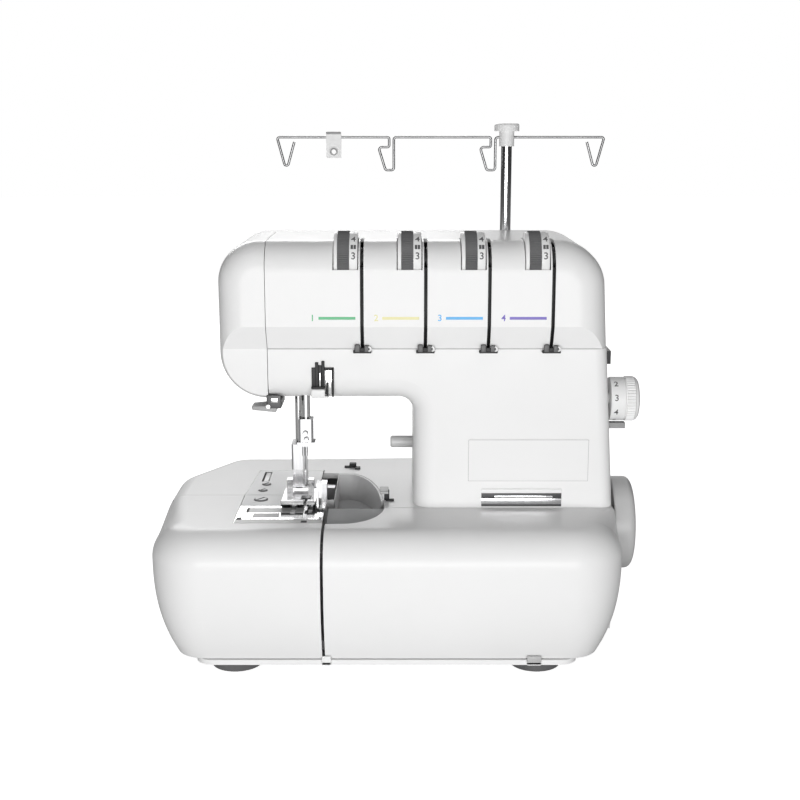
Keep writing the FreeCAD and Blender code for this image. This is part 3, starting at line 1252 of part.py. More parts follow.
node("spool_stand", cut(fuse(cut(stand, stand_hollow), *stand_parts), *pin_holes))
node("spool_pins", group(*spools))

# Stitch-length dial on the column's right side, its pointer, the power switch and the inlet.
dial_skirt = rod("x", ("column_right - 3", "column_right + 7"), dial_axis, "length_dial_radius")
dial_grip = rod("x", ("column_right + 6", "length_dial_face"), dial_axis, "length_dial_radius - 1.5")
dial_grip = soften(dial_grip, 1.5, x="max")
dial_stem = rod("x", ("column_right - 17", "column_right - 2"), dial_axis, "stud_radius")
node("stitch_length_dial", fuse(soften(dial_skirt, 1, x="max"), dial_grip, dial_stem))
pointer_high = "(bed_height + length_dial_rise - length_dial_radius)"
pointer_low = f"({pointer_high} - 4.4)"
pointer_lean = f"column_lean * ({pointer_low} - bed_height) / (throat_height + arm_band)"
pointer = prism("yz", [("-length_dial_y - 6", pointer_low),
                       ("6 - length_dial_y", pointer_low),
                       ("6 - length_dial_y", f"{pointer_high} - 1.8"),
                       ("-length_dial_y", f"{pointer_high} - 0.6"),
                       ("-length_dial_y - 6", f"{pointer_high} - 0.6")],
                (f"column_right - {pointer_lean} + 0.3", "column_right + 8.2"))
node("dial_pointer", pointer)
rocker_block = box(("base_right - 6", "base_right + 1.6"), ("20", "32"), ("44.5", "61.5"))
switch_axle = rod("y", ("16.4", "35.6"), ("base_right - 4", "53"), "1.5")
node("power_switch", fuse(soften(rocker_block, 1, x="max"), switch_axle))
inlet_block = box(("base_right - 11", "base_right + 0.6"), ("48.7", "67.3"), ("44.7", "63.3"))
inlet_well = box(("base_right - 8.5", "base_right + 2"), ("51.5", "64.5"), ("48", "60"))
prongs = [box(("base_right - 9", "base_right - 5"), (y, f"{y} + 1.6"), ("52", "56")) for y in ("54", "60.4")]
node("power_inlet", fuse(cut(inlet_block, inlet_well), *prongs))

# Screws that show on the plates and at the back.
screws = []
for x, y, radius in (("-98", "-37", "4.2"), ("-98", "2", "2.6"), ("-99", "-14", "2.6")):
    head = rod("z", ("bed_height", "bed_height + 0.8"), (x, y), radius)
    slit = box((f"{x} - 5", f"{x} + 5"), (f"{y} - 0.5", f"{y} + 0.5"), ("bed_height + 0.4", "bed_height + 2"))
    screws.append(cut(head, slit))
for x, z in (("-104", f"{head_low} + 28"), ("-104", f"{head_high} - 18"), ("96", f"{head_high} - 26"),
             ("132", "bed_height + 16"),
             ("24", "bed_height + 16")):
    head = soften(rod("y", ("case_rear", "case_rear + 2"), (x, z), "3.6"), 0.8, y="max")
    screws.append(cut(head, box((f"{x} - 4", f"{x} + 4"), ("case_rear + 1", "case_rear + 3"),
                                (f"{z} - 0.5", f"{z} + 0.5"))))
node("case_screws", group(*screws))

doc.recompute()
failed = [o.Label for o in doc.Objects if "Invalid" in o.State or "Error" in o.State]
if failed:
    raise SystemExit(f"objects with errors: {failed}")
os.makedirs("parts", exist_ok=True)
for item in nodes:
    if item.Shape.isNull() or not item.Shape.isValid():
        raise SystemExit(f"bad shape: {item.Label}")
    item.Shape.exportStep(f"parts/{item.Label}.step")
    span = item.Shape.BoundBox
    print(f"{item.Label}: {len(item.Shape.Solids)} solids, x {span.XMin:.1f} {span.XMax:.1f} "
          f"y {span.YMin:.1f} {span.YMax:.1f} z {span.ZMin:.1f} {span.ZMax:.1f}")
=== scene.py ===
import json
import math

import bmesh
import bpy
from mathutils import Matrix, Vector
from mathutils.bvhtree import BVHTree


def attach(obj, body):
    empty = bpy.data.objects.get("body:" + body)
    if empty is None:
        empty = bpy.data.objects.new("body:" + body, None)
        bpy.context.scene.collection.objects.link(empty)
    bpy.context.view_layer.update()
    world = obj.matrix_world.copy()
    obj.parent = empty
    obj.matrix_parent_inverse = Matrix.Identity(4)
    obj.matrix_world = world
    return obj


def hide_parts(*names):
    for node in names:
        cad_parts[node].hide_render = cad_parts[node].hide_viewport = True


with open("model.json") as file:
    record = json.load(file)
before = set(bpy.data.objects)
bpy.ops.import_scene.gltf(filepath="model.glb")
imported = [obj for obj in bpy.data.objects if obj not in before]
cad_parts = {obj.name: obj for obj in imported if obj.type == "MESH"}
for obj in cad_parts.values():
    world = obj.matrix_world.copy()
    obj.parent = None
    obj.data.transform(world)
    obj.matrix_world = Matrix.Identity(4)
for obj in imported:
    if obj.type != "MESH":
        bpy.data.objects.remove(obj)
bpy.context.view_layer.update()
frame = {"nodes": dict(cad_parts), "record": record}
nodes = frame["nodes"]
scene = bpy.context.scene
scene.view_settings.view_transform = "Standard"
mm = 0.001
print("frame loaded:", len(nodes), "nodes")

# camera first, at the photograph's angle
viewSetup = {"place": (0, -0.89914, 0.35493), "tiltDeg": 78, "lens": 57.2, "sensor": 36}
lensData = bpy.data.cameras.new("photoLens")
lensData.lens = viewSetup["lens"]
lensData.sensor_width = viewSetup["sensor"]
viewPoint = bpy.data.objects.new("photoView", lensData)
viewPoint.location = viewSetup["place"]
viewPoint.rotation_euler = (math.radians(viewSetup["tiltDeg"]), 0, 0)
scene.collection.objects.link(viewPoint)
scene.camera = viewPoint


def newGroup(name, inputs, outputs):
    group = bpy.data.node_groups.new(name, "ShaderNodeTree")
    for label, kind, value in inputs:
        socket = group.interface.new_socket(label, in_out="INPUT", socket_type=kind)
        socket.default_value = value
    for label in outputs:
        group.interface.new_socket(label, in_out="OUTPUT", socket_type="NodeSocketFloat")
    return group, group.nodes.new("NodeGroupInput"), group.nodes.new("NodeGroupOutput")


def mathNode(tree, kind, first, second):
    node = tree.nodes.new("ShaderNodeMath")
    node.operation = kind
    for socket, value in zip(node.inputs, (first, second)):
        if isinstance(value, (int, float)):
            socket.default_value = value
        else:
            tree.links.new(value, socket)
    return node.outputs[0]


def noiseNode(tree, vector, scale, detail):
    node = tree.nodes.new("ShaderNodeTexNoise")
    node.inputs["Detail"].default_value = detail
    tree.links.new(vector, node.inputs["Vector"])
    if isinstance(scale, (int, float)):
        node.inputs["Scale"].default_value = scale
    else:
        tree.links.new(scale, node.inputs["Scale"])
    return node.outputs["Fac"]


def spread(tree, value, low, high):
    node = tree.nodes.new("ShaderNodeMapRange")
    node.inputs["From Min"].default_value = low
    node.inputs["From Max"].default_value = high
    tree.links.new(value, node.inputs["Value"])
    return node.outputs[0]


# moulded surface: fine spark texture and slow drift of tone
grainLook = {"scale": 1500.0, "detail": 3, "drift": 45, "driftDetail": 5, "driftSpan": (0.3, 0.7)}
mouldGrain, entry, leave = newGroup(
    "mouldGrain", [("Scale", "NodeSocketFloat", grainLook["scale"])], ["Height", "Tone"])
place = mouldGrain.nodes.new("ShaderNodeTexCoord").outputs["Object"]
spark = noiseNode(mouldGrain, place, entry.outputs["Scale"], grainLook["detail"])
mouldGrain.links.new(spark, leave.inputs["Height"])
drift = noiseNode(mouldGrain, place, grainLook["drift"], grainLook["driftDetail"])
mouldGrain.links.new(spread(mouldGrain, drift, *grainLook["driftSpan"]), leave.inputs["Tone"])

# rubbed edges, found where a rounded normal leaves the true one
wearLook = {"width": 0.0008, "amount": 0.4, "edgeSpan": (0.02, 0.22), "patch": 160, "patchDetail": 5,
            "patchSpan": (0.35, 0.65), "rays": 4}
edgeWear, entry, leave = newGroup(
    "edgeWear", [("Width", "NodeSocketFloat", wearLook["width"]),
                 ("Amount", "NodeSocketFloat", wearLook["amount"])], ["Mask"])
rounded = edgeWear.nodes.new("ShaderNodeBevel")
rounded.samples = wearLook["rays"]
edgeWear.links.new(entry.outputs["Width"], rounded.inputs["Radius"])
turned = edgeWear.nodes.new("ShaderNodeVectorMath")
turned.operation = "DOT_PRODUCT"
edgeWear.links.new(rounded.outputs[0], turned.inputs[0])
edgeWear.links.new(edgeWear.nodes.new("ShaderNodeNewGeometry").outputs["Normal"], turned.inputs[1])
bare = spread(edgeWear, mathNode(edgeWear, "SUBTRACT", 1.0, turned.outputs["Value"]), *wearLook["edgeSpan"])
place = edgeWear.nodes.new("ShaderNodeTexCoord").outputs["Object"]
patches = noiseNode(edgeWear, place, wearLook["patch"], wearLook["patchDetail"])
worn = mathNode(edgeWear, "MULTIPLY", bare, spread(edgeWear, patches, *wearLook["patchSpan"]))
edgeWear.links.new(mathNode(edgeWear, "MULTIPLY", worn, entry.outputs["Amount"]), leave.inputs["Mask"])

# dust and painted shade held in corners and seams, found by ambient occlusion and broken into patches
dustAndShadeLook = {"reach": 0.004, "amount": 0.4, "cornerSpan": (0.25, 0.95), "patch": 90, "patchDetail": 4,
            "patchSpan": (0.2, 0.7), "rays": 4}
seamDustAndShade, entry, leave = newGroup(
    "seamDustAndShade", [("Reach", "NodeSocketFloat", dustAndShadeLook["reach"]),
                 ("Amount", "NodeSocketFloat", dustAndShadeLook["amount"])], ["Mask"])
corner = seamDustAndShade.nodes.new("ShaderNodeAmbientOcclusion")
corner.samples = dustAndShadeLook["rays"]
seamDustAndShade.links.new(entry.outputs["Reach"], corner.inputs["Distance"])
closed = spread(seamDustAndShade, mathNode(seamDustAndShade, "SUBTRACT", 1.0, corner.outputs["AO"]), *dustAndShadeLook["cornerSpan"])
place = seamDustAndShade.nodes.new("ShaderNodeTexCoord").outputs["Object"]
patches = noiseNode(seamDustAndShade, place, dustAndShadeLook["patch"], dustAndShadeLook["patchDetail"])
dustShadeMask = mathNode(seamDustAndShade, "MULTIPLY", closed, spread(seamDustAndShade, patches, *dustAndShadeLook["patchSpan"]))
seamDustAndShade.links.new(mathNode(seamDustAndShade, "MULTIPLY", dustShadeMask, entry.outputs["Amount"]), leave.inputs["Mask"])

# grinding and drawing lines on metal
brushLook = {"stretch": (30.0, 1500.0, 1500.0), "scale": 1.0, "detail": 4, "toneSpan": (0.3, 0.7)}
brushedLines, entry, leave = newGroup(
    "brushedLines", [("Stretch", "NodeSocketVector", brushLook["stretch"])], ["Height", "Tone"])
place = brushedLines.nodes.new("ShaderNodeTexCoord").outputs["Object"]
pulled = brushedLines.nodes.new("ShaderNodeVectorMath")
pulled.operation = "MULTIPLY"
brushedLines.links.new(place, pulled.inputs[0])
brushedLines.links.new(entry.outputs["Stretch"], pulled.inputs[1])
lines = noiseNode(brushedLines, pulled.outputs[0], brushLook["scale"], brushLook["detail"])
brushedLines.links.new(lines, leave.inputs["Height"])
brushedLines.links.new(spread(brushedLines, lines, *brushLook["toneSpan"]), leave.inputs["Tone"])

# what a finish has where its own look names nothing else
plainLook = {"metal": 0.0, "shine": 0.5, "bumpDepth": 0.0002}


def makeFinish(name, ownLook):
    look = {**plainLook, **ownLook}
    finish = bpy.data.materials.new(name)
    finish.use_nodes = True
    tree = finish.node_tree
    shader = tree.nodes["Principled BSDF"]
    shader.inputs["Metallic"].default_value = look["metal"]
    shader.inputs["Specular IOR Level"].default_value = look["shine"]

    def placeGroup(group, **values):
        node = tree.nodes.new("ShaderNodeGroup")
        node.node_tree = group
        for label, value in values.items():
            node.inputs[label].default_value = value
        return node

    def blendColour(mask, under, over):
        mix = tree.nodes.new("ShaderNodeMix")
        mix.data_type = "RGBA"
        tree.links.new(mask, mix.inputs[0])
        for socket, value in ((mix.inputs[6], under), (mix.inputs[7], over)):  # the mix's two colours
            if isinstance(value, tuple):
                socket.default_value = (*value, 1)
            else:
                tree.links.new(value, socket)
        return mix.outputs[2]

    if "brushed" in look:
        surface = placeGroup(brushedLines, Stretch=look["brushed"])
    else:
        surface = placeGroup(mouldGrain, Scale=look["grain"])
    colour = blendColour(surface.outputs["Tone"], look["low"], look["high"])
    # corners and seams take the dust tint, which also paints in their shade
    if "dustAndShade" in look:
        tint, reach, amount = look["dustAndShade"]
        dustAndShade = placeGroup(seamDustAndShade, Reach=reach, Amount=amount)
        colour = blendColour(dustAndShade.outputs["Mask"], colour, tint)
    if "wear" in look:
        tint, width, amount = look["wear"]
        wear = placeGroup(edgeWear, Width=width, Amount=amount)
        colour = blendColour(wear.outputs["Mask"], colour, tint)
    tree.links.new(colour, shader.inputs["Base Color"])
    rough = tree.nodes.new("ShaderNodeMapRange")
    rough.inputs["To Min"].default_value, rough.inputs["To Max"].default_value = look["rough"]
    tree.links.new(surface.outputs["Tone"], rough.inputs["Value"])
    tree.links.new(rough.outputs[0], shader.inputs["Roughness"])
    bump = tree.nodes.new("ShaderNodeBump")
    bump.inputs["Strength"].default_value = look["bump"]
    bump.inputs["Distance"].default_value = look["bumpDepth"]
    tree.links.new(surface.outputs["Height"], bump.inputs["Height"])
    tree.links.new(bump.outputs[0], shader.inputs["Normal"])
    return finish


# low and high tone, roughness; dust with painted shade and wear as colour, reach in metres and amount
finishLooks = {
    "white_shell": {"low": (0.872, 0.872, 0.871), "high": (0.877, 0.877, 0.876), "rough": (0.24, 0.27),
                    "shine": 0.13, "grain": 1500.0, "bump": 0.05, "dustAndShade": ((0.5, 0.49, 0.47), 0.003, 0.25),
                    "wear": ((0.92, 0.92, 0.92), 0.0007, 0.3)},
    "grey_plate": {"low": (0.32, 0.325, 0.33), "high": (0.38, 0.385, 0.39), "rough": (0.3, 0.42),
                   "grain": 2200.0, "bump": 0.09, "dustAndShade": ((0.3, 0.29, 0.28), 0.003, 0.5),
                   "wear": ((0.72, 0.72, 0.72), 0.0006, 0.6)},
    "bright_steel": {"low": (0.72, 0.72, 0.72), "high": (0.8, 0.8, 0.8), "rough": (0.06, 0.16), "metal": 1.0,
                     "brushed": (40.0, 1500.0, 1500.0), "bump": 0.05,
                     "wear": ((0.9, 0.9, 0.9), 0.0005, 0.5)},
    "steel": {"low": (0.52, 0.52, 0.53), "high": (0.64, 0.64, 0.64), "rough": (0.2, 0.36), "metal": 1.0,
              "brushed": (1500.0, 1500.0, 60.0), "bump": 0.08, "wear": ((0.8, 0.8, 0.8), 0.0005, 0.5)},
    "plated_steel": {"low": (0.64, 0.64, 0.65), "high": (0.72, 0.72, 0.73), "rough": (0.08, 0.18),
                     "metal": 1.0, "brushed": (1200.0, 1200.0, 40.0), "bump": 0.04,
                     "wear": ((0.85, 0.85, 0.85), 0.0004, 0.4)},
    "frame_casting": {"low": (0.52, 0.52, 0.53), "high": (0.66, 0.66, 0.67), "rough": (0.45, 0.65),
                      "metal": 1.0, "grain": 700.0, "bump": 0.3, "dustAndShade": ((0.2, 0.19, 0.18), 0.006, 0.5)},
    "bush_brass": {"low": (0.62, 0.46, 0.22), "high": (0.74, 0.57, 0.3), "rough": (0.2, 0.35), "metal": 1.0,
                   "brushed": (1500.0, 60.0, 60.0), "bump": 0.06},
    "rubber": {"low": (0.12, 0.12, 0.123), "high": (0.15, 0.15, 0.152), "rough": (0.65, 0.85),
               "grain": 900.0, "bump": 0.25, "dustAndShade": ((0.2, 0.19, 0.18), 0.004, 0.4)},
    "dark_plastic": {"low": (0.028, 0.028, 0.03), "high": (0.045, 0.045, 0.048), "rough": (0.38, 0.5),
                     "grain": 1800.0, "bump": 0.15, "wear": ((0.2, 0.2, 0.2), 0.0005, 0.5)},
    "pale_plastic": {"low": (0.60, 0.60, 0.60), "high": (0.68, 0.68, 0.68), "rough": (0.32, 0.44),
                     "grain": 1800.0, "bump": 0.1, "dustAndShade": ((0.4, 0.39, 0.37), 0.003, 0.4),
                     "wear": ((0.8, 0.8, 0.8), 0.0006, 0.3)},
    "liner_plastic": {"low": (0.78, 0.78, 0.782), "high": (0.82, 0.82, 0.822), "rough": (0.35, 0.5),
                      "grain": 1500.0, "bump": 0.14, "dustAndShade": ((0.3, 0.29, 0.28), 0.005, 0.4)},
}

# print, knurling and small trim have their own finishes
trimLooks = {
    "bandRubber": {"low": (0.085, 0.085, 0.088), "high": (0.12, 0.12, 0.122), "rough": (0.5, 0.65),
                   "grain": 1600.0, "bump": 0.2, "wear": ((0.26, 0.26, 0.26), 0.0003, 0.5)},
    "dialInk": {"low": (0.06, 0.06, 0.065), "high": (0.1, 0.1, 0.1), "rough": (0.4, 0.5),
                "grain": 2500.0, "bump": 0.1},
    "greenInk": {"low": (0.03, 0.36, 0.13), "high": (0.06, 0.44, 0.19), "rough": (0.35, 0.45),
                 "grain": 2500.0, "bump": 0.08},
    "yellowInk": {"low": (0.7, 0.66, 0.3), "high": (0.78, 0.74, 0.4), "rough": (0.35, 0.45),
                  "grain": 2500.0, "bump": 0.08},
    "blueInk": {"low": (0.03, 0.34, 0.72), "high": (0.07, 0.42, 0.8), "rough": (0.35, 0.45),
                "grain": 2500.0, "bump": 0.08},
    "purpleInk": {"low": (0.1, 0.06, 0.4), "high": (0.15, 0.1, 0.5), "rough": (0.35, 0.45),
                  "grain": 2500.0, "bump": 0.08},
    "rimGrey": {"low": (0.44, 0.44, 0.44), "high": (0.52, 0.52, 0.52), "rough": (0.35, 0.45),
                "grain": 2500.0, "bump": 0.08},
    "wireGrey": {"low": (0.2, 0.2, 0.205), "high": (0.3, 0.3, 0.3), "rough": (0.25, 0.4), "metal": 1.0,
                 "brushed": (60.0, 1500.0, 1500.0), "bump": 0.05},
    "clipGrey": {"low": (0.85, 0.85, 0.85), "high": (0.89, 0.89, 0.89), "rough": (0.4, 0.5), "shine": 0.1,
                 "brushed": (1500.0, 1500.0, 60.0), "bump": 0.05},
    "chromeRod": {"low": (0.74, 0.74, 0.74), "high": (0.82, 0.82, 0.82), "rough": (0.04, 0.08), "metal": 1.0,
                  "brushed": (1500.0, 1500.0, 40.0), "bump": 0.02},
    "shadeSteel": {"low": (0.06, 0.06, 0.062), "high": (0.1, 0.1, 0.1), "rough": (0.4, 0.55), "metal": 0.3,
                   "grain": 1200.0, "bump": 0.08},
    "footSteel": {"low": (0.34, 0.34, 0.345), "high": (0.46, 0.46, 0.46), "rough": (0.12, 0.24), "metal": 1.0,
                  "brushed": (40.0, 1500.0, 1500.0), "bump": 0.05, "wear": ((0.8, 0.8, 0.8), 0.0005, 0.5)},
    "slotBlack": {"low": (0.008, 0.008, 0.009), "high": (0.014, 0.014, 0.015), "rough": (0.55, 0.7),
                  "grain": 1800.0, "bump": 0.1},
    "pointerGrey": {"low": (0.22, 0.22, 0.225), "high": (0.28, 0.28, 0.28), "rough": (0.35, 0.45),
                    "grain": 1800.0, "bump": 0.1, "wear": ((0.45, 0.45, 0.45), 0.0005, 0.4)},
    "wheelGrey": {"low": (0.56, 0.56, 0.56), "high": (0.62, 0.62, 0.62), "rough": (0.28, 0.38),
                  "grain": 1600.0, "bump": 0.08, "wear": ((0.75, 0.75, 0.75), 0.0008, 0.4),
                  "dustAndShade": ((0.35, 0.34, 0.33), 0.004, 0.4)},
}
paintBox = {name: makeFinish(name, look) for name, look in {**finishLooks, **trimLooks}.items()}

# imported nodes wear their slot's finish, apart from a few with a trim of their own
slotOf = {part["node"]: part["material_slot"] for part in frame["record"]["subparts"]}
# the tension units behind the slots take the near-black shadeSteel as painted shade, keeping the slots dark
ownTrim = {"presser_foot": "footSteel", "needle_bar": "chromeRod", "presser_bar": "chromeRod",
           "guide_wire": "wireGrey", "wire_clip_plate": "clipGrey", "tension_units": "shadeSteel",
           "dial_pointer": "pointerGrey", "mast_cap": "white_shell"}
for name, item in nodes.items():
    for holder in item.material_slots:
        holder.material = paintBox[ownTrim.get(name, slotOf[name])]
print("finishes made:", len(paintBox))


def dressPiece(name, bm, body, paints, stands=(), sharpDeg=32):
    # paints: names from the paint box, in the order of the faces' paint numbers
    bmesh.ops.remove_doubles(bm, verts=bm.verts[:], dist=0.001 * mm)
    bmesh.ops.recalc_face_normals(bm, faces=bm.faces[:])
    shape = bpy.data.meshes.new(name)
    bm.to_mesh(shape)
    bm.free()
    for paint in paints:
        shape.materials.append(paintBox[paint])
    for face in shape.polygons:
        face.use_smooth = True
    shape.set_sharp_from_angle(angle=math.radians(sharpDeg))
    piece = bpy.data.objects.new(name, shape)
    scene.collection.objects.link(piece)
    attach(piece, body)
    if stands:
        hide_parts(*stands)


def turnedRing(bm, outline, center, axis, steps, paint=0):
    # outline: closed list of (along, radius) in mm, spun about the axis through center
    side = Vector((0, 0, 1)) if axis != "Z" else Vector((1, 0, 0))
    along = {"X": Vector((1, 0, 0)), "Y": Vector((0, 1, 0)), "Z": Vector((0, 0, 1))}[axis]
    middle = Vector(center) * mm
    start = [bm.verts.new(middle + along * a * mm + side * r * mm) for a, r in outline]
    edges = [bm.edges.new((start[k], start[(k + 1) % len(start)])) for k in range(len(start))]
    before = set(bm.faces)
    bmesh.ops.spin(bm, geom=start + edges, cent=middle, axis=along, angle=math.tau, steps=steps,
                   use_merge=True, dvec=(0, 0, 0))
    for face in bm.faces:
        if face not in before:
            face.material_index = paint


def shiftRun(run, along, radius):
    # stretch of a turned outline, moved along the axis and out from it
    return [(along + a, radius + r) for a, r in run]


axisGap = 0.02  # mm, keeps a turned outline just off its axis


def toAxis(run, crown=0):
    # closes an outline beside the axis, its far end raised by the crown
    return [(run[0][0], axisGap), *run, (run[-1][0] + crown, axisGap)]


def softBlock(bm, low, high, radius, paint=0, turn=None):
    # box between two corners in mm with rounded edges
    before = set(bm.faces)
    made = bmesh.ops.create_cube(bm, size=1.0)["verts"]
    size = [(h - l) * mm for l, h in zip(low, high)]
    bmesh.ops.scale(bm, verts=made, vec=size)
    edges = list({edge for vert in made for edge in vert.link_edges})
    if radius:
        bmesh.ops.bevel(bm, geom=edges, offset=radius * mm, offset_type="OFFSET", affect="EDGES",
                        segments=3, profile=0.5, material=-1, clamp_overlap=True)
    faces = [face for face in bm.faces if face not in before]
    points = list({vert for face in faces for vert in face.verts})
    if turn:
        bmesh.ops.rotate(bm, verts=points, cent=(0, 0, 0), matrix=turn)
    bmesh.ops.translate(bm, verts=points, vec=[(h + l) / 2 * mm for l, h in zip(low, high)])
    for face in faces:
        face.material_index = paint


def blockSet(bm, blocks, origin=(0, 0, 0)):
    # blocks: low corner, high corner, rounding and paint, in mm from the origin
    for low, high, rounding, paint in blocks:
        softBlock(bm, [a + b for a, b in zip(low, origin)], [a + b for a, b in zip(high, origin)], rounding,
                  paint=paint)


def ribbedBand(bm, look, middleX, width, paint=0):
    # knurled sleeve round an X axis: every second edge is pulled in, then the sleeve gets its wall
    before = set(bm.faces)
    count = look["ribs"] * 2
    radius = look["bandRadius"] * mm
    ring = bmesh.ops.create_cone(bm, cap_ends=False, segments=count, radius1=radius, radius2=radius,
                                 depth=width * mm)["verts"]
    for vert in ring:
        if round(math.atan2(vert.co.y, vert.co.x) / (math.tau / count)) % 2:
            vert.co.x *= look["groove"]
            vert.co.y *= look["groove"]
    sleeve = [face for face in bm.faces if face not in before]
    bmesh.ops.rotate(bm, verts=ring, cent=(0, 0, 0), matrix=Matrix.Rotation(math.pi / 2, 3, "Y"))
    bmesh.ops.translate(bm, verts=ring, vec=Vector((middleX, *look["center"][1:])) * mm)
    bmesh.ops.recalc_face_normals(bm, faces=sleeve)
    bmesh.ops.solidify(bm, geom=sleeve, thickness=look["bandWall"] * mm)
    for face in bm.faces:
        if face not in before:
            face.material_index = paint


# print: cap height to font size, relief in mm, boldness as a share of the height
digitLook = {"capShare": 0.7, "relief": 0.04, "bold": 0.02}


def digitMesh(text, height):
    letters = bpy.data.curves.new("digits", "FONT")
    letters.body = text
    letters.size = height * mm / digitLook["capShare"]
    letters.align_x = "CENTER"
    letters.align_y = "CENTER"
    letters.extrude = digitLook["relief"] * mm
    letters.offset = height * mm * digitLook["bold"]
    holder = bpy.data.objects.new("digits", letters)
    scene.collection.objects.link(holder)
    bpy.context.view_layer.update()
    shape = bpy.data.meshes.new_from_object(holder)
    bpy.data.objects.remove(holder)
    return shape


def wrapOnDrum(bm, shape, center, radius, atX, atDeg, paint):
    # lays flat print round a drum whose axis runs along X, zero degrees facing the front
    before = set(bm.verts)
    bm.from_mesh(shape)
    fresh = [vert for vert in bm.verts if vert not in before]
    for vert in fresh:
        angle = math.radians(atDeg) + vert.co.y / (radius * mm)
        reach = radius * mm + vert.co.z
        vert.co = (atX * mm + vert.co.x, center[1] * mm - math.cos(angle) * reach,
                   center[2] * mm + math.sin(angle) * reach)
    for face in {face for vert in fresh for face in vert.link_faces}:
        face.material_index = paint


# floor and light
stageLook = {"floorSize": 6.0, "floorGlow": 0.9, "floorTone": 0.6, "floorRough": 0.9, "roomLight": 0.2,
             "sideDark": 0.04, "sideSpan": (0.3, 0.5), "aim": (0, 0, 0.12),
             "frontWatt": 10.1, "frontSize": (0.9, 0.34), "frontPlace": (0, -1.2, 0.17),
             "backWatt": 15.0, "backSize": (1.2, 0.8), "backPlace": (-0.4, 1.5, 1.0)}
ground = bmesh.new()
bmesh.ops.create_grid(ground, x_segments=1, y_segments=1, size=stageLook["floorSize"])
floorMesh = bpy.data.meshes.new("paleFloor")
ground.to_mesh(floorMesh)
ground.free()
floor = bpy.data.objects.new("paleFloor", floorMesh)
scene.collection.objects.link(floor)
floorFinish = bpy.data.materials.new("floorPaper")
floorFinish.use_nodes = True
tree = floorFinish.node_tree
paper = tree.nodes["Principled BSDF"]
paper.inputs["Base Color"].default_value = (stageLook["floorTone"],) * 3 + (1,)
paper.inputs["Roughness"].default_value = stageLook["floorRough"]
paper.inputs["Specular IOR Level"].default_value = 0.0
paper.inputs["Emission Color"].default_value = (1, 1, 1, 1)


def darkSides(tree, direction, path):
    # bright metal mirrors a white room with dark side walls
    aim = tree.nodes.new("ShaderNodeSeparateXYZ")
    tree.links.new(direction, aim.inputs[0])
    shade = spread(tree, mathNode(tree, "ABSOLUTE", aim.outputs[0], 0), *stageLook["sideSpan"])
    kept = mathNode(tree, "SUBTRACT", 1.0, mathNode(tree, "MULTIPLY", shade, 1.0 - stageLook["sideDark"]))
    mirrored = mathNode(tree, "MULTIPLY", kept, path.outputs["Is Glossy Ray"])
    plain = mathNode(tree, "MAXIMUM", path.outputs["Is Camera Ray"], path.outputs["Is Transmission Ray"])
    return mathNode(tree, "MAXIMUM", plain, mirrored)


path = tree.nodes.new("ShaderNodeLightPath")
bearing = tree.nodes.new("ShaderNodeVectorMath")
bearing.operation = "NORMALIZE"
tree.links.new(tree.nodes.new("ShaderNodeTexCoord").outputs["Object"], bearing.inputs[0])
seen = darkSides(tree, bearing.outputs[0], path)
tree.links.new(mathNode(tree, "MULTIPLY", seen, stageLook["floorGlow"]), paper.inputs["Emission Strength"])
floorMesh.materials.append(floorFinish)

room = bpy.data.worlds.new("studioRoom")
scene.world = room
room.use_nodes = True
tree = room.node_tree
glow = tree.nodes["Background"]
path = tree.nodes.new("ShaderNodeLightPath")
seen = darkSides(tree, tree.nodes.new("ShaderNodeTexCoord").outputs["Generated"], path)
matt = mathNode(tree, "MULTIPLY", path.outputs["Is Diffuse Ray"], stageLook["roomLight"])
glow.inputs["Color"].default_value = (1, 1, 1, 1)
tree.links.new(mathNode(tree, "MAXIMUM", seen, matt), glow.inputs["Strength"])

for side in ("front", "back"):
    lamp = bpy.data.lights.new(side + "Softbox", "AREA")
    lamp.energy = stageLook[side + "Watt"]
    lamp.shape = "RECTANGLE"
    lamp.size, lamp.size_y = stageLook[side + "Size"]
    softbox = bpy.data.objects.new(side + "Softbox", lamp)
    softbox.location = stageLook[side + "Place"]
    toward = Vector(stageLook["aim"]) - softbox.location
    softbox.rotation_euler = toward.to_track_quat("-Z", "Y").to_euler()
    scene.collection.objects.link(softbox)
print("stage set")

# tension dials: white drum, ribbed band, printed numbers
# the edges, dish and boss are (along, radius) steps from a side and from the rim or bore
dialLook = {"count": 4, "first": -43.8, "pitch": 42.2, "width": 15.8, "center": (0, -46, 270), "radius": 18.2,
            "bore": 3.3, "around": 96, "leftEdge": [(0, -0.7), (0.2, -0.2), (0.7, 0)],
            "rightEdge": [(-0.8, 0), (-0.2, -0.3), (0, -0.9)], "dish": [(0, -5), (-1.2, -5.6)],
            "boss": [(-1.2, 3), (0, 2.6)], "band": (2.4, 10.4), "bandSeat": 1, "bandGap": 0.2,
            "bandRadius": 19.0, "bandWall": 1.4, "ribs": 84, "groove": 0.982, "digitHeight": 4.5,
            "digitX": 13.1, "stepDeg": 40, "restDeg": 12, "restNumber": 3, "markShift": 0.95,
            "markHalf": (0.8, 1.55), "markLift": 0.05}


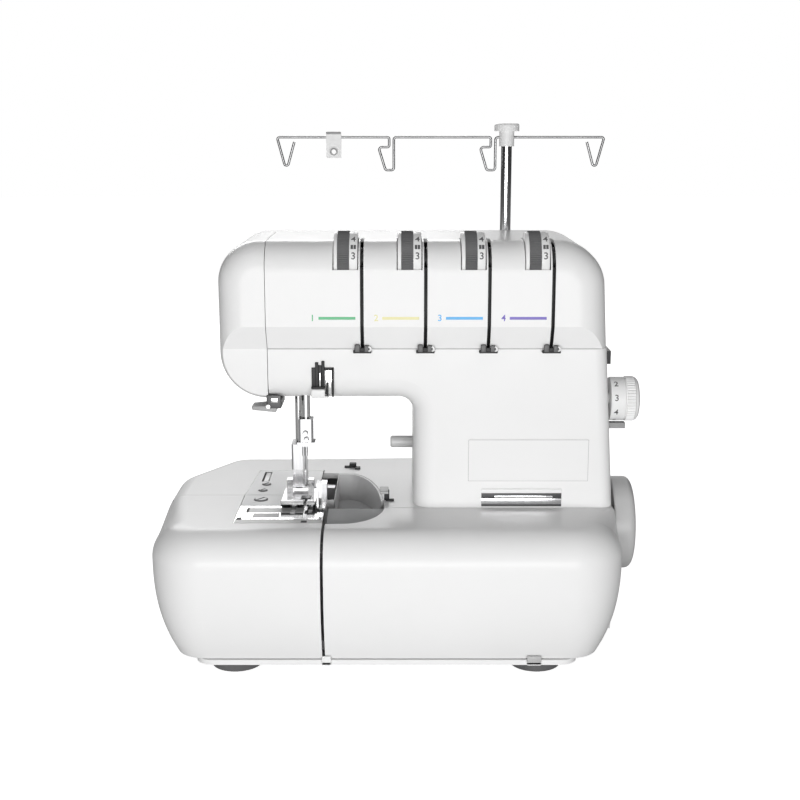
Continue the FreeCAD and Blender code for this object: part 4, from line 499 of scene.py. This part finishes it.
def tensionDial(index):
    left = dialLook["first"] + dialLook["pitch"] * index
    right = left + dialLook["width"]
    center, radius, bore = dialLook["center"], dialLook["radius"], dialLook["bore"]
    low, high = (left + side for side in dialLook["band"])
    gap, seat = dialLook["bandGap"], radius - dialLook["bandSeat"]
    bm = bmesh.new()
    outline = [(left, bore)] + shiftRun(dialLook["leftEdge"], left, radius)
    outline += [(low, radius), (low + gap, seat), (high - gap, seat), (high, radius)]
    outline += shiftRun(dialLook["rightEdge"] + dialLook["dish"], right, radius)
    outline += shiftRun(dialLook["boss"], right, bore) + [(right, bore)]
    turnedRing(bm, outline, center, "X", dialLook["around"])
    ribbedBand(bm, dialLook, (low + high) / 2, high - low - gap, paint=1)
    printX = left + dialLook["digitX"]
    for number in range(1, 10):
        at = dialLook["restDeg"] + dialLook["stepDeg"] * (number - dialLook["restNumber"])
        wrapOnDrum(bm, digitMesh(str(number), dialLook["digitHeight"]), center, radius, printX, at, 2)
    # pair of squares that marks the usual setting
    for shift in (-dialLook["markShift"], dialLook["markShift"]):
        mark = bmesh.new()
        bmesh.ops.create_grid(mark, x_segments=1, y_segments=5, size=mm)
        bmesh.ops.scale(mark, verts=mark.verts[:], vec=(*dialLook["markHalf"], 1))
        bmesh.ops.translate(mark, verts=mark.verts[:], vec=(shift * mm, 0, dialLook["markLift"] * mm))
        square = bpy.data.meshes.new("square")
        mark.to_mesh(square)
        mark.free()
        wrapOnDrum(bm, square, center, radius, printX, dialLook["restDeg"] + dialLook["stepDeg"] / 2, 2)
    dressPiece(f"tensionDial{index + 1}", bm, f"tension_dial_{index + 1}",
               ["white_shell", "bandRubber", "dialInk"], [f"tension_dial_{index + 1}"])


for index in range(dialLook["count"]):
    tensionDial(index)
print("tension dials made")

# handwheel: straight rim with a rounded edge, dished face with a boss, hub and belt pulley
# the rear edge and the dish are (along, step from the rim), the other runs (along, radius)
wheelLook = {"center": (0, -19.5, 78.3), "radius": 33.0, "bore": 4.95, "face": 165, "round": 4.6,
             "roundSteps": 6,
             "pulley": [(127, 21.4), (127.6, 22), (129, 22), (131.5, 18.6), (133.5, 22), (135.4, 22),
                        (136, 21.4)],
             "hub": [(136, 9), (150.4, 9), (150.4, 28), (150, 30)], "rearEdge": [(150, -0.7), (150.7, 0)],
             "dish": [(164.8, -6.4), (164, -7.4), (162.8, -8.4), (162.4, -11)],
             "boss": [(162.4, 11), (162.8, 10), (164, 9), (164.2, 8)], "around": 120, "sharpDeg": 25,
             "thumbRest": ((161.2, 9.4, -5.4), (164.6, 19, 5.4), 1.6, 0),
             "turnMark": ((160.4, -1.5, 0.3), (164.4, 1.5, 3.4), 0.7, 1)}
bm = bmesh.new()
rim, bore, curve = wheelLook["radius"], wheelLook["bore"], wheelLook["round"]
outline = [(wheelLook["pulley"][0][0], bore)] + wheelLook["pulley"] + wheelLook["hub"]
outline += shiftRun(wheelLook["rearEdge"], 0, rim)
for step in range(wheelLook["roundSteps"] + 1):
    angle = math.pi / 2 * step / wheelLook["roundSteps"]
    outline.append((wheelLook["face"] - curve + curve * math.sin(angle),
                    rim - curve + curve * math.cos(angle)))
outline += shiftRun(wheelLook["dish"], 0, rim) + wheelLook["boss"] + [(wheelLook["boss"][-1][0], bore)]
turnedRing(bm, outline, wheelLook["center"], "X", wheelLook["around"])
# the thumb rest is placed from the rim's front, the dark turning mark from its low edge
wheelY, wheelZ = wheelLook["center"][1:]
blockSet(bm, [wheelLook["thumbRest"]], (0, wheelY - rim, wheelZ))
blockSet(bm, [wheelLook["turnMark"]], (0, wheelY, wheelZ - rim))
dressPiece("wheelRim", bm, "drive", ["wheelGrey", "dark_plastic"], ["handwheel"],
           wheelLook["sharpDeg"])

# stitch length dial: numbered skirt, ribbed grip, domed end; the drum is (along, step from the radius)
stitchLook = {"center": (0, -40, 173.5), "radius": 15.0, "stem": [(130, 4), (144, 4)],
              "drum": [(144, -0.5), (144.5, 0), (153.6, 0), (154.2, -0.7), (160.6, -0.7), (160.9, 0.1),
                       (162.2, -0.5), (163.3, -2), (163.9, -4.4), (164, -9), (163.4, -10)],
              "around": 96, "sharpDeg": 25, "bandRadius": 15.45, "bandWall": 1.5, "bandMiddle": 157.6,
              "bandWidth": 5.6, "ribs": 48, "groove": 0.962, "digitHeight": 4.2, "digitX": 147.4,
              "lastNumber": 5, "stepDeg": 40, "restDeg": 12, "restNumber": 3}
bm = bmesh.new()
skirt = stitchLook["radius"]
outline = toAxis(stitchLook["stem"] + shiftRun(stitchLook["drum"], 0, skirt))
turnedRing(bm, outline, stitchLook["center"], "X", stitchLook["around"])
ribbedBand(bm, stitchLook, stitchLook["bandMiddle"], stitchLook["bandWidth"])
for number in range(stitchLook["lastNumber"] + 1):
    at = stitchLook["restDeg"] + stitchLook["stepDeg"] * (stitchLook["restNumber"] - number)
    wrapOnDrum(bm, digitMesh(str(number), stitchLook["digitHeight"]), stitchLook["center"], skirt,
               stitchLook["digitX"], at, 1)
dressPiece("stitchLengthKnob", bm, "stitch_length_dial", ["white_shell", "dialInk"],
           ["stitch_length_dial"], stitchLook["sharpDeg"])
print("wheel and knob made")

# finger grip above the looper cover in strips: a rounded white lip on top as a painted highlight, a set-back
# dark band as a painted reflection with a bright steel strip in it as a painted highlight, a bright steel
# floor and a dark bottom line as painted shade
# each layer: inset left and right, step behind the front, low, high, rounding, paint
gripLook = {"left": 56, "right": 111, "front": -58, "back": -57,
            "layers": {"lip": (0, 0, 0, 110.6, 113.6, 0.45, 0),
                       "paintedReflectionBand": (0, 0, 0.5, 106.6, 110.8, 0.1, 1),
                       "paintedHighlightStrip": (9, 6, 0.4, 107.0, 108.6, 0.1, 2),
                       "floor": (0, 0, 0.25, 102.8, 106.8, 0.15, 2),
                       "paintedShadeLine": (0, 0, 0.1, 101.2, 102.9, 0.3, 1)}}
bm = bmesh.new()
for fromLeft, fromRight, step, low, high, rounding, paint in gripLook["layers"].values():
    softBlock(bm, (gripLook["left"] + fromLeft, gripLook["front"] + step, low),
              (gripLook["right"] - fromRight, gripLook["back"], high), rounding, paint=paint)
dressPiece("fingerGrip", bm, "machine", ["white_shell", "dark_plastic", "plated_steel"],
           ["finger_plate"])

# bare badge field with a fine moulded edge
badgeLook = {"low": (46.5, 119.0), "high": (129.0, 148.6), "front": -57.83, "line": 0.42, "margin": 0.4}
bm = bmesh.new()
bmesh.ops.create_grid(bm, x_segments=1, y_segments=1, size=0.5)
wide, tall = ((h - l - badgeLook["margin"]) * mm for l, h in zip(badgeLook["low"], badgeLook["high"]))
midX, midZ = ((h + l) / 2 for l, h in zip(badgeLook["low"], badgeLook["high"]))
bmesh.ops.scale(bm, verts=bm.verts[:], vec=(wide, tall, 1))
inner = bmesh.ops.inset_region(bm, faces=bm.faces[:], thickness=badgeLook["line"] * mm, use_boundary=True)
middle = [face for face in bm.faces if face not in set(inner["faces"])]
bmesh.ops.delete(bm, geom=middle, context="FACES")
bmesh.ops.rotate(bm, verts=bm.verts[:], cent=(0, 0, 0), matrix=Matrix.Rotation(math.pi / 2, 3, "X"))
bmesh.ops.translate(bm, verts=bm.verts[:], vec=Vector((midX, badgeLook["front"], midZ)) * mm)
dressPiece("badgeEdge", bm, "machine", ["rimGrey"])

# thread path marks on the upper cover: a number and a coloured rule for each thread
ruleLook = {"first": -60.0, "level": 232.9, "digit": 4.2, "digitAt": 2, "rule": (6.0, 30.5), "thick": 1.9,
            "lift": 0.06, "inks": ("greenInk", "yellowInk", "blueInk", "purpleInk")}
coverFace = BVHTree.FromObject(nodes["upper_cover"], bpy.context.evaluated_depsgraph_get())
beforeCover = -0.2  # metres, in front of the whole machine


def coverDepth(x, z):
    # where a line from the front meets the upper cover
    return coverFace.ray_cast(Vector((x, beforeCover, z)), Vector((0, 1, 0)))[0].y


for index, ink in enumerate(ruleLook["inks"]):
    left = ruleLook["first"] + dialLook["pitch"] * index
    start, end = ruleLook["rule"]
    bm = bmesh.new()
    bm.from_mesh(digitMesh(str(index + 1), ruleLook["digit"]))
    bmesh.ops.delete(bm, geom=[face for face in bm.faces if face.normal.z < 0.5], context="FACES")
    bmesh.ops.translate(bm, verts=bm.verts[:], vec=(ruleLook["digitAt"] * mm, 0, 0))
    strip = bmesh.ops.create_grid(bm, x_segments=24, y_segments=3, size=0.5)["verts"]
    bmesh.ops.scale(bm, verts=strip, vec=((end - start) * mm, ruleLook["thick"] * mm, 1))
    bmesh.ops.translate(bm, verts=strip, vec=((start + end) / 2 * mm, 0, 0))
    bmesh.ops.rotate(bm, verts=bm.verts[:], cent=(0, 0, 0), matrix=Matrix.Rotation(math.pi / 2, 3, "X"))
    bmesh.ops.translate(bm, verts=bm.verts[:], vec=(left * mm, 0, ruleLook["level"] * mm))
    for vert in bm.verts:
        vert.co.y = coverDepth(vert.co.x, vert.co.z) - ruleLook["lift"] * mm
    dressPiece(f"threadRule{index + 1}", bm, "machine", [ink])
print("grip, badge field and rules made")

# thread guides at the foot of each slot, placed from the slot's middle, the guide's front and its low edge
slotLook = {"fromDial": 18.6, "low": 208.7, "front": -61.7, "around": 24,
            "blocks": {"shelf": ((-6.2, 0, 0), (6.2, 4.7, 1.4), 0.45, 0),
                       "leftEar": ((-5.2, 0, 0.4), (-1.5, 1.2, 5.9), 0.55, 1),
                       "rightEar": ((1.2, 0, 0.4), (4.6, 1.2, 5.4), 0.55, 1),
                       "tongue": ((-1.7, 0.3, 0.4), (1.4, 1.1, 3.7), 0.3, 0),
                       "curledLip": ((-6.2, 0, -0.05), (-4.6, 1.4, 2.2), 0.6, 0)},
            "eyelet": (4.2, 0, 2.9), "eyeletRun": [(0, 0.9), (0.1, 1.9), (0.6, 2.1), (1.4, 2.0), (1.4, 0.9)]}
firstSlot = dialLook["first"] + slotLook["fromDial"]
slotPlaces = [firstSlot + dialLook["pitch"] * index for index in range(dialLook["count"])]
bm = bmesh.new()
for at in slotPlaces:
    origin = (at, slotLook["front"], slotLook["low"])
    blockSet(bm, slotLook["blocks"].values(), origin)
    turnedRing(bm, slotLook["eyeletRun"], [a + b for a, b in zip(origin, slotLook["eyelet"])], "Y",
               slotLook["around"], paint=2)
dressPiece("slotGuides", bm, "machine", ["slotBlack", "shadeSteel", "clipGrey"],
           ["slot_thread_guides"])

# black channel down each thread slot, open to the front, as painted shade inside the slot; the cover's depth
# is felt beside the slot
slotShadeLook = {"half": 1.08, "depth": 5.0, "setBack": 0.3, "feelAt": 3, "sheet": 0.25, "low": 212.2,
               "high": 266.0, "steps": 27}
bm = bmesh.new()
half = slotShadeLook["half"]
for at in slotPlaces:
    trough = []
    for step in range(slotShadeLook["steps"] + 1):
        level = slotShadeLook["low"] + (slotShadeLook["high"] - slotShadeLook["low"]) * step / slotShadeLook["steps"]
        face = coverDepth((at + slotShadeLook["feelAt"]) * mm, level * mm) / mm
        near, far = face + slotShadeLook["setBack"], face + slotShadeLook["depth"]
        trough.append([bm.verts.new(Vector((at + x, y, level)) * mm)
                       for x, y in ((-half, near), (-half, far), (half, far), (half, near))])
    strip = [bm.faces.new((below[k], below[k + 1], above[k + 1], above[k]))
             for below, above in zip(trough, trough[1:]) for k in range(3)]
    bmesh.ops.recalc_face_normals(bm, faces=strip)
    bmesh.ops.solidify(bm, geom=strip, thickness=slotShadeLook["sheet"] * mm)
dressPiece("slotShadeChannels", bm, "machine", ["slotBlack"])

# head thread guide: dark plates with bright prongs and a white foot, depths counted from the head's face; the
# near-black plates and the dark prong are painted dark reflections of the metal, the black gap plate is
# painted shade
headLook = {"face": (0, -57.0, 0), "hookDeg": -38,
            "hook": ((-52.2, -61.6, 181.0), (-48.4, -59.8, 182.2), 0.4),
            "blocks": {"leftPlate": ((-59.6, -1.2, 184.6), (-57.0, 0, 198.4), 0.3, 0),
                       "middlePlate": ((-57.2, -1.6, 184.6), (-54.9, 0, 202.0), 0.4, 0),
                       "rightPlate": ((-52.9, -1.6, 184.6), (-50.8, 0, 203.0), 0.6, 0),
                       "gapShadePlate": ((-55.4, -0.8, 184.6), (-52.4, 0, 200.0), 0.2, 0),
                       "middleProng": ((-54.6, -2.6, 185.4), (-53.2, -0.6, 195.4), 0.6, 1),
                       "shelf": ((-59.8, -3.2, 184.2), (-50.6, 0, 185.6), 0.3, 0),
                       "foot": ((-59.8, -6.0, 178.8), (-50.4, 0, 184.2), 0.9, 2),
                       "footLip": ((-59.4, -5.4, 178.0), (-48.6, -0.4, 179.6), 0.6, 2),
                       "frameTop": ((-50.9, -2.2, 196.6), (-44.6, 0, 198.4), 0.4, 0),
                       "frameSide": ((-46.0, -2.2, 178.4), (-44.6, 0, 198.4), 0.4, 0),
                       "framePlate": ((-50.2, -1.0, 180.0), (-46.0, 0, 196.8), 0.4, 1),
                       "reflectionDarkProng": ((-49.6, -3.4, 178.2), (-48.2, -0.6, 188.2), 0.5, 0),
                       "sideProng": ((-47.6, -2.4, 179.0), (-46.6, -0.6, 192.0), 0.4, 1)}}
bm = bmesh.new()
blockSet(bm, headLook["blocks"].values(), headLook["face"])
softBlock(bm, *headLook["hook"], turn=Matrix.Rotation(math.radians(headLook["hookDeg"]), 3, "Y"))
dressPiece("headGuide", bm, "machine", ["slotBlack", "bright_steel", "white_shell"],
           ["head_thread_guide"])

# thread cutter: dark holder lipped over the head's edge, steel edge, pale nose tapered to its left end, stud
cutterLook = {"blocks": {"holder": ((-90.2, -57.0, 170.2), (-80.4, -30.0, 175.8), 0.7, 0),
                         "lip": ((-90.2, -58.9, 170.4), (-80.4, -57.15, 179.6), 0.6, 0),
                         "edge": ((-87.2, -59.2, 174.6), (-82.6, -58.7, 177.4), 0.2, 2)},
              "nose": (-92.9, -43.0, 168.6), "noseSize": (17.6, 22.0, 4.4), "taperY": 0.55, "taperZ": 0.72,
              "noseRound": 1.3, "stud": (-89.2, 0, 171.6), "around": 24,
              "studRun": [(-59.0, 1.4), (-58.5, 1.7), (-52.8, 1.7)]}
bm = bmesh.new()
blockSet(bm, cutterLook["blocks"].values())
before = set(bm.faces)
nose = bmesh.ops.create_cube(bm, size=1.0)["verts"]
bmesh.ops.scale(bm, verts=nose, vec=Vector(cutterLook["noseSize"]) * mm)
for vert in nose:
    if vert.co.x < 0:
        vert.co.y *= cutterLook["taperY"]
        vert.co.z *= cutterLook["taperZ"]
edges = list({edge for vert in nose for edge in vert.link_edges})
bmesh.ops.bevel(bm, geom=edges, offset=cutterLook["noseRound"] * mm, offset_type="OFFSET", affect="EDGES",
                segments=4, profile=0.5, material=-1, clamp_overlap=True)
fresh = [face for face in bm.faces if face not in before]
points = list({vert for face in fresh for vert in face.verts})
bmesh.ops.translate(bm, verts=points, vec=Vector(cutterLook["nose"]) * mm)
for face in fresh:
    face.material_index = 1
turnedRing(bm, toAxis(cutterLook["studRun"]), cutterLook["stud"], "Y", cutterLook["around"], paint=2)
dressPiece("threadCutter", bm, "machine", ["shadeSteel", "rimGrey", "bright_steel"],
           ["thread_cutter"])

# case screws: flat slotted heads on the plates (x, y, radius), domed cross heads at the rear (x, z)
screwLook = {"plate": [(-98, -37, 4.1), (-98, 2, 2.5), (-99, -14, 2.5)], "plateTop": 100.0,
             "plateHead": [(0.02, 0), (0.45, 0), (0.75, -0.35)], "plateCrown": 0.03,
             "plateShadowRing": [(0.02, 0), (0.02, 0.9), (0.16, 0.9), (0.3, 0)],
             "slotShare": 0.9, "slotHalf": 0.8, "slotSpan": (0.6, 0.82), "slotDeg": 52,
             "rear": [(-104, 204), (-104, 265), (96, 257), (132, 116), (24, 116)],
             "rearHead": [(45.0, 3.8), (45.8, 3.8), (46.5, 3.0), (46.9, 1.4)], "rearCrown": 0.05,
             "cross": ((-2.1, 46.4, -0.4), (2.1, 46.98, 0.4)), "around": 40}
bm = bmesh.new()
top = screwLook["plateTop"]
slotLow, slotHigh = (top + level for level in screwLook["slotSpan"])
for x, y, radius in screwLook["plate"]:
    head = toAxis(shiftRun(screwLook["plateHead"], top, radius), screwLook["plateCrown"])
    turnedRing(bm, head, (x, y, 0), "Z", screwLook["around"], paint=2)
    # a black ring round each plate head is a painted shadow
    rimShadow = shiftRun(screwLook["plateShadowRing"], top, radius)
    turnedRing(bm, rimShadow, (x, y, 0), "Z", screwLook["around"], paint=1)
    # the slot is a black bar on the head: painted shade of its recess
    reach, half = radius * screwLook["slotShare"], screwLook["slotHalf"]
    softBlock(bm, (x - reach, y - half, slotLow), (x + reach, y + half, slotHigh), 0, paint=1,
              turn=Matrix.Rotation(math.radians(screwLook["slotDeg"]), 3, "Z"))
for x, z in screwLook["rear"]:
    head = toAxis(screwLook["rearHead"], screwLook["rearCrown"])
    turnedRing(bm, head, (x, 0, z), "Y", screwLook["around"])
    # the cross is two black bars: painted shade of its recess
    low, high = ([a + b for a, b in zip(edge, (x, 0, z))] for edge in screwLook["cross"])
    for turn in (0, 90):
        softBlock(bm, low, high, 0, paint=1, turn=Matrix.Rotation(math.radians(turn), 3, "Y"))
dressPiece("caseScrews", bm, "machine", ["steel", "slotBlack", "grey_plate"], ["case_screws"])

# rubber feet: ringed tread; its edge and the shoulder are steps from the tread's and the foot's radius
footLook = {"places": [(-110.5, -88.5), (-110.5, 58), (91.5, -88.5), (91.5, 58)],
            "radius": 18.5, "tread": 17.2,
            "rings": [(0.7, 4), (0, 4.8), (0, 7.4), (0.7, 8), (0.7, 10), (0, 10.8)],
            "treadEdge": [(0, -1.4), (0.5, -0.3), (1.4, 0.3)], "shoulder": [(6.2, -0.6), (7.2, 0), (8, 0)],
            "around": 56}
outline = footLook["rings"] + shiftRun(footLook["treadEdge"], 0, footLook["tread"])
outline += shiftRun(footLook["shoulder"], 0, footLook["radius"])
bm = bmesh.new()
for x, y in footLook["places"]:
    turnedRing(bm, toAxis(outline), (x, y, 0), "Z", footLook["around"])
dressPiece("rubberFeet", bm, "machine", ["rubber"], ["rubber_feet"])
print("small fittings made")

# marks and slots in the plates round the needle; the black marks are painted shade standing for openings and
# gaps, and the black slot floor round the slot's fill is painted shade; a mark is left, front, right, back
# and paint
plateLook = {"top": 100.0, "skin": 0.07,
             "slotShadeFloor": ((-102.4, 10.1, 98.02), (-97.1, 36.9, 98.32), 0, 0),
             "slotFill": ((-101.4, 10.5, 98.3), (-97.4, 35.4, 99.9), 1.2, 3),
             "marks": [(-110.3, -91.8, -52.1, -83.4, 2), (-104.8, -68.6, -65.9, -57.8, 2),
                       (-105.0, -68.6, -103.2, -57.8, 0), (-99.4, -80.0, -81.6, -70.0, 1),
                       (-64.9, -71.3, -56.4, -63.7, 0), (-109.6, -85.2, -106.2, -79.4, 0),
                       (-66.0, -91.4, -62.0, -87.0, 0)]}
bm = bmesh.new()
blockSet(bm, [plateLook["slotShadeFloor"], plateLook["slotFill"]])
top = plateLook["top"]
for order, (left, front, right, back, paint) in enumerate(plateLook["marks"]):
    skin = plateLook["skin"] * (1 + order / len(plateLook["marks"]))  # a later mark lies over an earlier one
    softBlock(bm, (left, front, top), (right, back, top + skin), 0, paint=paint)
dressPiece("plateMarks", bm, "machine",
           ["slotBlack", "pointerGrey", "rimGrey", "white_shell"])

# small hook behind the looper well and the cover's catch beside the column
hookLook = {"bar": ((-42.8, 48.6, 100), (-34.0, 52.2, 101.2), 0.4, 0),
            "bump": ((-39.0, 49.4, 100.2), (-33.8, 54.6, 103.0), 0.4, 0),
            "tail": ((-34.6, 43.6, 100), (-30.6, 50.0, 101.0), 0.4, 0),
            "stem": ((-11.1, -39.5, 100), (-7.6, -30, 105.4), 0.4, 0),
            "toe": ((-10, -42, 100), (-4.2, -37.6, 101.0), 0.4, 0),
            "pad": ((-14.2, -40.2, 104.8), (-8.2, -26, 106.4), 0.5, 1)}
bm = bmesh.new()
blockSet(bm, hookLook.values())
dressPiece("bedHooks", bm, "machine", ["slotBlack", "rimGrey"])

# grey sheet laid in the scoop of the looper cover, darker than the cover: a curved edge swept about the turn,
# floor rising to the rear
scoopLook = {"left": -49.3, "turn": (-39.5, -57), "right": -11.15, "rear": -57.7, "front": -93.85,
             "sweepDeg": 88.5, "frontFloor": 94.0, "rearFloor": 99.3, "rim": 99.7, "sheet": 0.12, "steps": 24}
bm = bmesh.new()
turnX, turnY = scoopLook["turn"]
front, rear = scoopLook["front"], scoopLook["rear"]
edgeLine = [(scoopLook["left"], front)]
for step in range(scoopLook["steps"] + 1):
    angle = math.radians(scoopLook["sweepDeg"]) * step / scoopLook["steps"]
    edgeLine.append((turnX + (scoopLook["right"] - turnX) * math.sin(angle),
                     turnY + (front - turnY) * math.cos(angle)))
rise = (scoopLook["rearFloor"] - scoopLook["frontFloor"]) / (rear - front)
floorLine = [bm.verts.new(Vector((x, y, scoopLook["frontFloor"] + rise * (y - front))) * mm)
             for x, y in edgeLine]
rimLine = [bm.verts.new(Vector((x, y, scoopLook["rim"])) * mm) for x, y in edgeLine]
rearLine = [bm.verts.new(Vector((x, rear, scoopLook["rearFloor"])) * mm) for x, y in edgeLine]
tray = []
for k in range(len(edgeLine) - 1):
    tray.append(bm.faces.new((floorLine[k], floorLine[k + 1], rimLine[k + 1], rimLine[k])))
    tray.append(bm.faces.new((rearLine[k], rearLine[k + 1], floorLine[k + 1], floorLine[k])))
bmesh.ops.recalc_face_normals(bm, faces=tray)
bmesh.ops.solidify(bm, geom=tray, thickness=scoopLook["sheet"] * mm)
dressPiece("scoopGreySheet", bm, "looper_cover", ["grey_plate"])

# wall that closes the looper well on the needle's side
curtainLook = {"side": ((-46.45, -36.6, 79.5), (-46.15, 31.8, 99.5), 0, 0),
               "end": ((-56.8, -36.6, 80.4), (-46.15, -36.3, 99.5), 0, 0)}
bm = bmesh.new()
blockSet(bm, curtainLook.values())
dressPiece("wellCurtain", bm, "machine", ["liner_plastic"])

# catch tab and end step on the pan's front edge
panLook = {"tab": ((84.0, -114.2, 9.0), (93.3, -112.4, 15.0), 0.4, 1),
           "tabFoot": ((84.0, -114.2, 8.6), (93.3, -111.3, 11.0), 0.4, 0),
           "step": ((-51.6, -114.0, 8.8), (-45.6, -112.4, 14.8), 0.4, 0),
           "stepFoot": ((-51.6, -114.0, 8.6), (-45.6, -111.3, 11.0), 0.4, 0)}
bm = bmesh.new()
blockSet(bm, panLook.values())
dressPiece("panCatches", bm, "machine", ["white_shell", "rimGrey"])

# ring screws of the needle clamp; the head is (along from the front, share of the radius)
clampLook = {"places": [(-64.9, 151.5), (-64.3, 147.1)], "front": -52.0, "radius": 1.55, "around": 28,
             "head": [(0.3, 0.5), (-0.25, 0.55), (-0.3, 0.9), (-0.1, 1), (0.5, 1)],
             "collar": [(-0.05, 0), (-0.05, 0.25), (0.3, 0.25), (0.3, 0)]}
bm = bmesh.new()
front, radius = clampLook["front"], clampLook["radius"]
head = toAxis([(front + along, radius * share) for along, share in clampLook["head"]])
collar = shiftRun(clampLook["collar"], front, radius)
for x, z in clampLook["places"]:
    turnedRing(bm, head, (x, 0, z), "Y", clampLook["around"])
    # a dark collar round each head is a painted shadow line
    turnedRing(bm, collar, (x, 0, z), "Y", clampLook["around"], paint=1)
dressPiece("clampScrews", bm, "needle_bar", ["plated_steel", "dark_plastic"])

# rolled eyelet and folded top edge of the wire's clip plate
clipLook = {"eyelet": (-49.1, 0, 339), "around": 32,
            "ring": [(59.9, 1.72), (59.9, 2.5), (60.3, 2.7), (60.6, 2.6), (60.6, 1.72)],
            "edge": ((-54.5, 59.85, 351.7), (-43.8, 60.5, 353.5), 0.2, 0)}
bm = bmesh.new()
turnedRing(bm, clipLook["ring"], clipLook["eyelet"], "Y", clipLook["around"])
blockSet(bm, [clipLook["edge"]])
dressPiece("clipEyelet", bm, "mast", ["pointerGrey"])
print("screws and eyelet made")
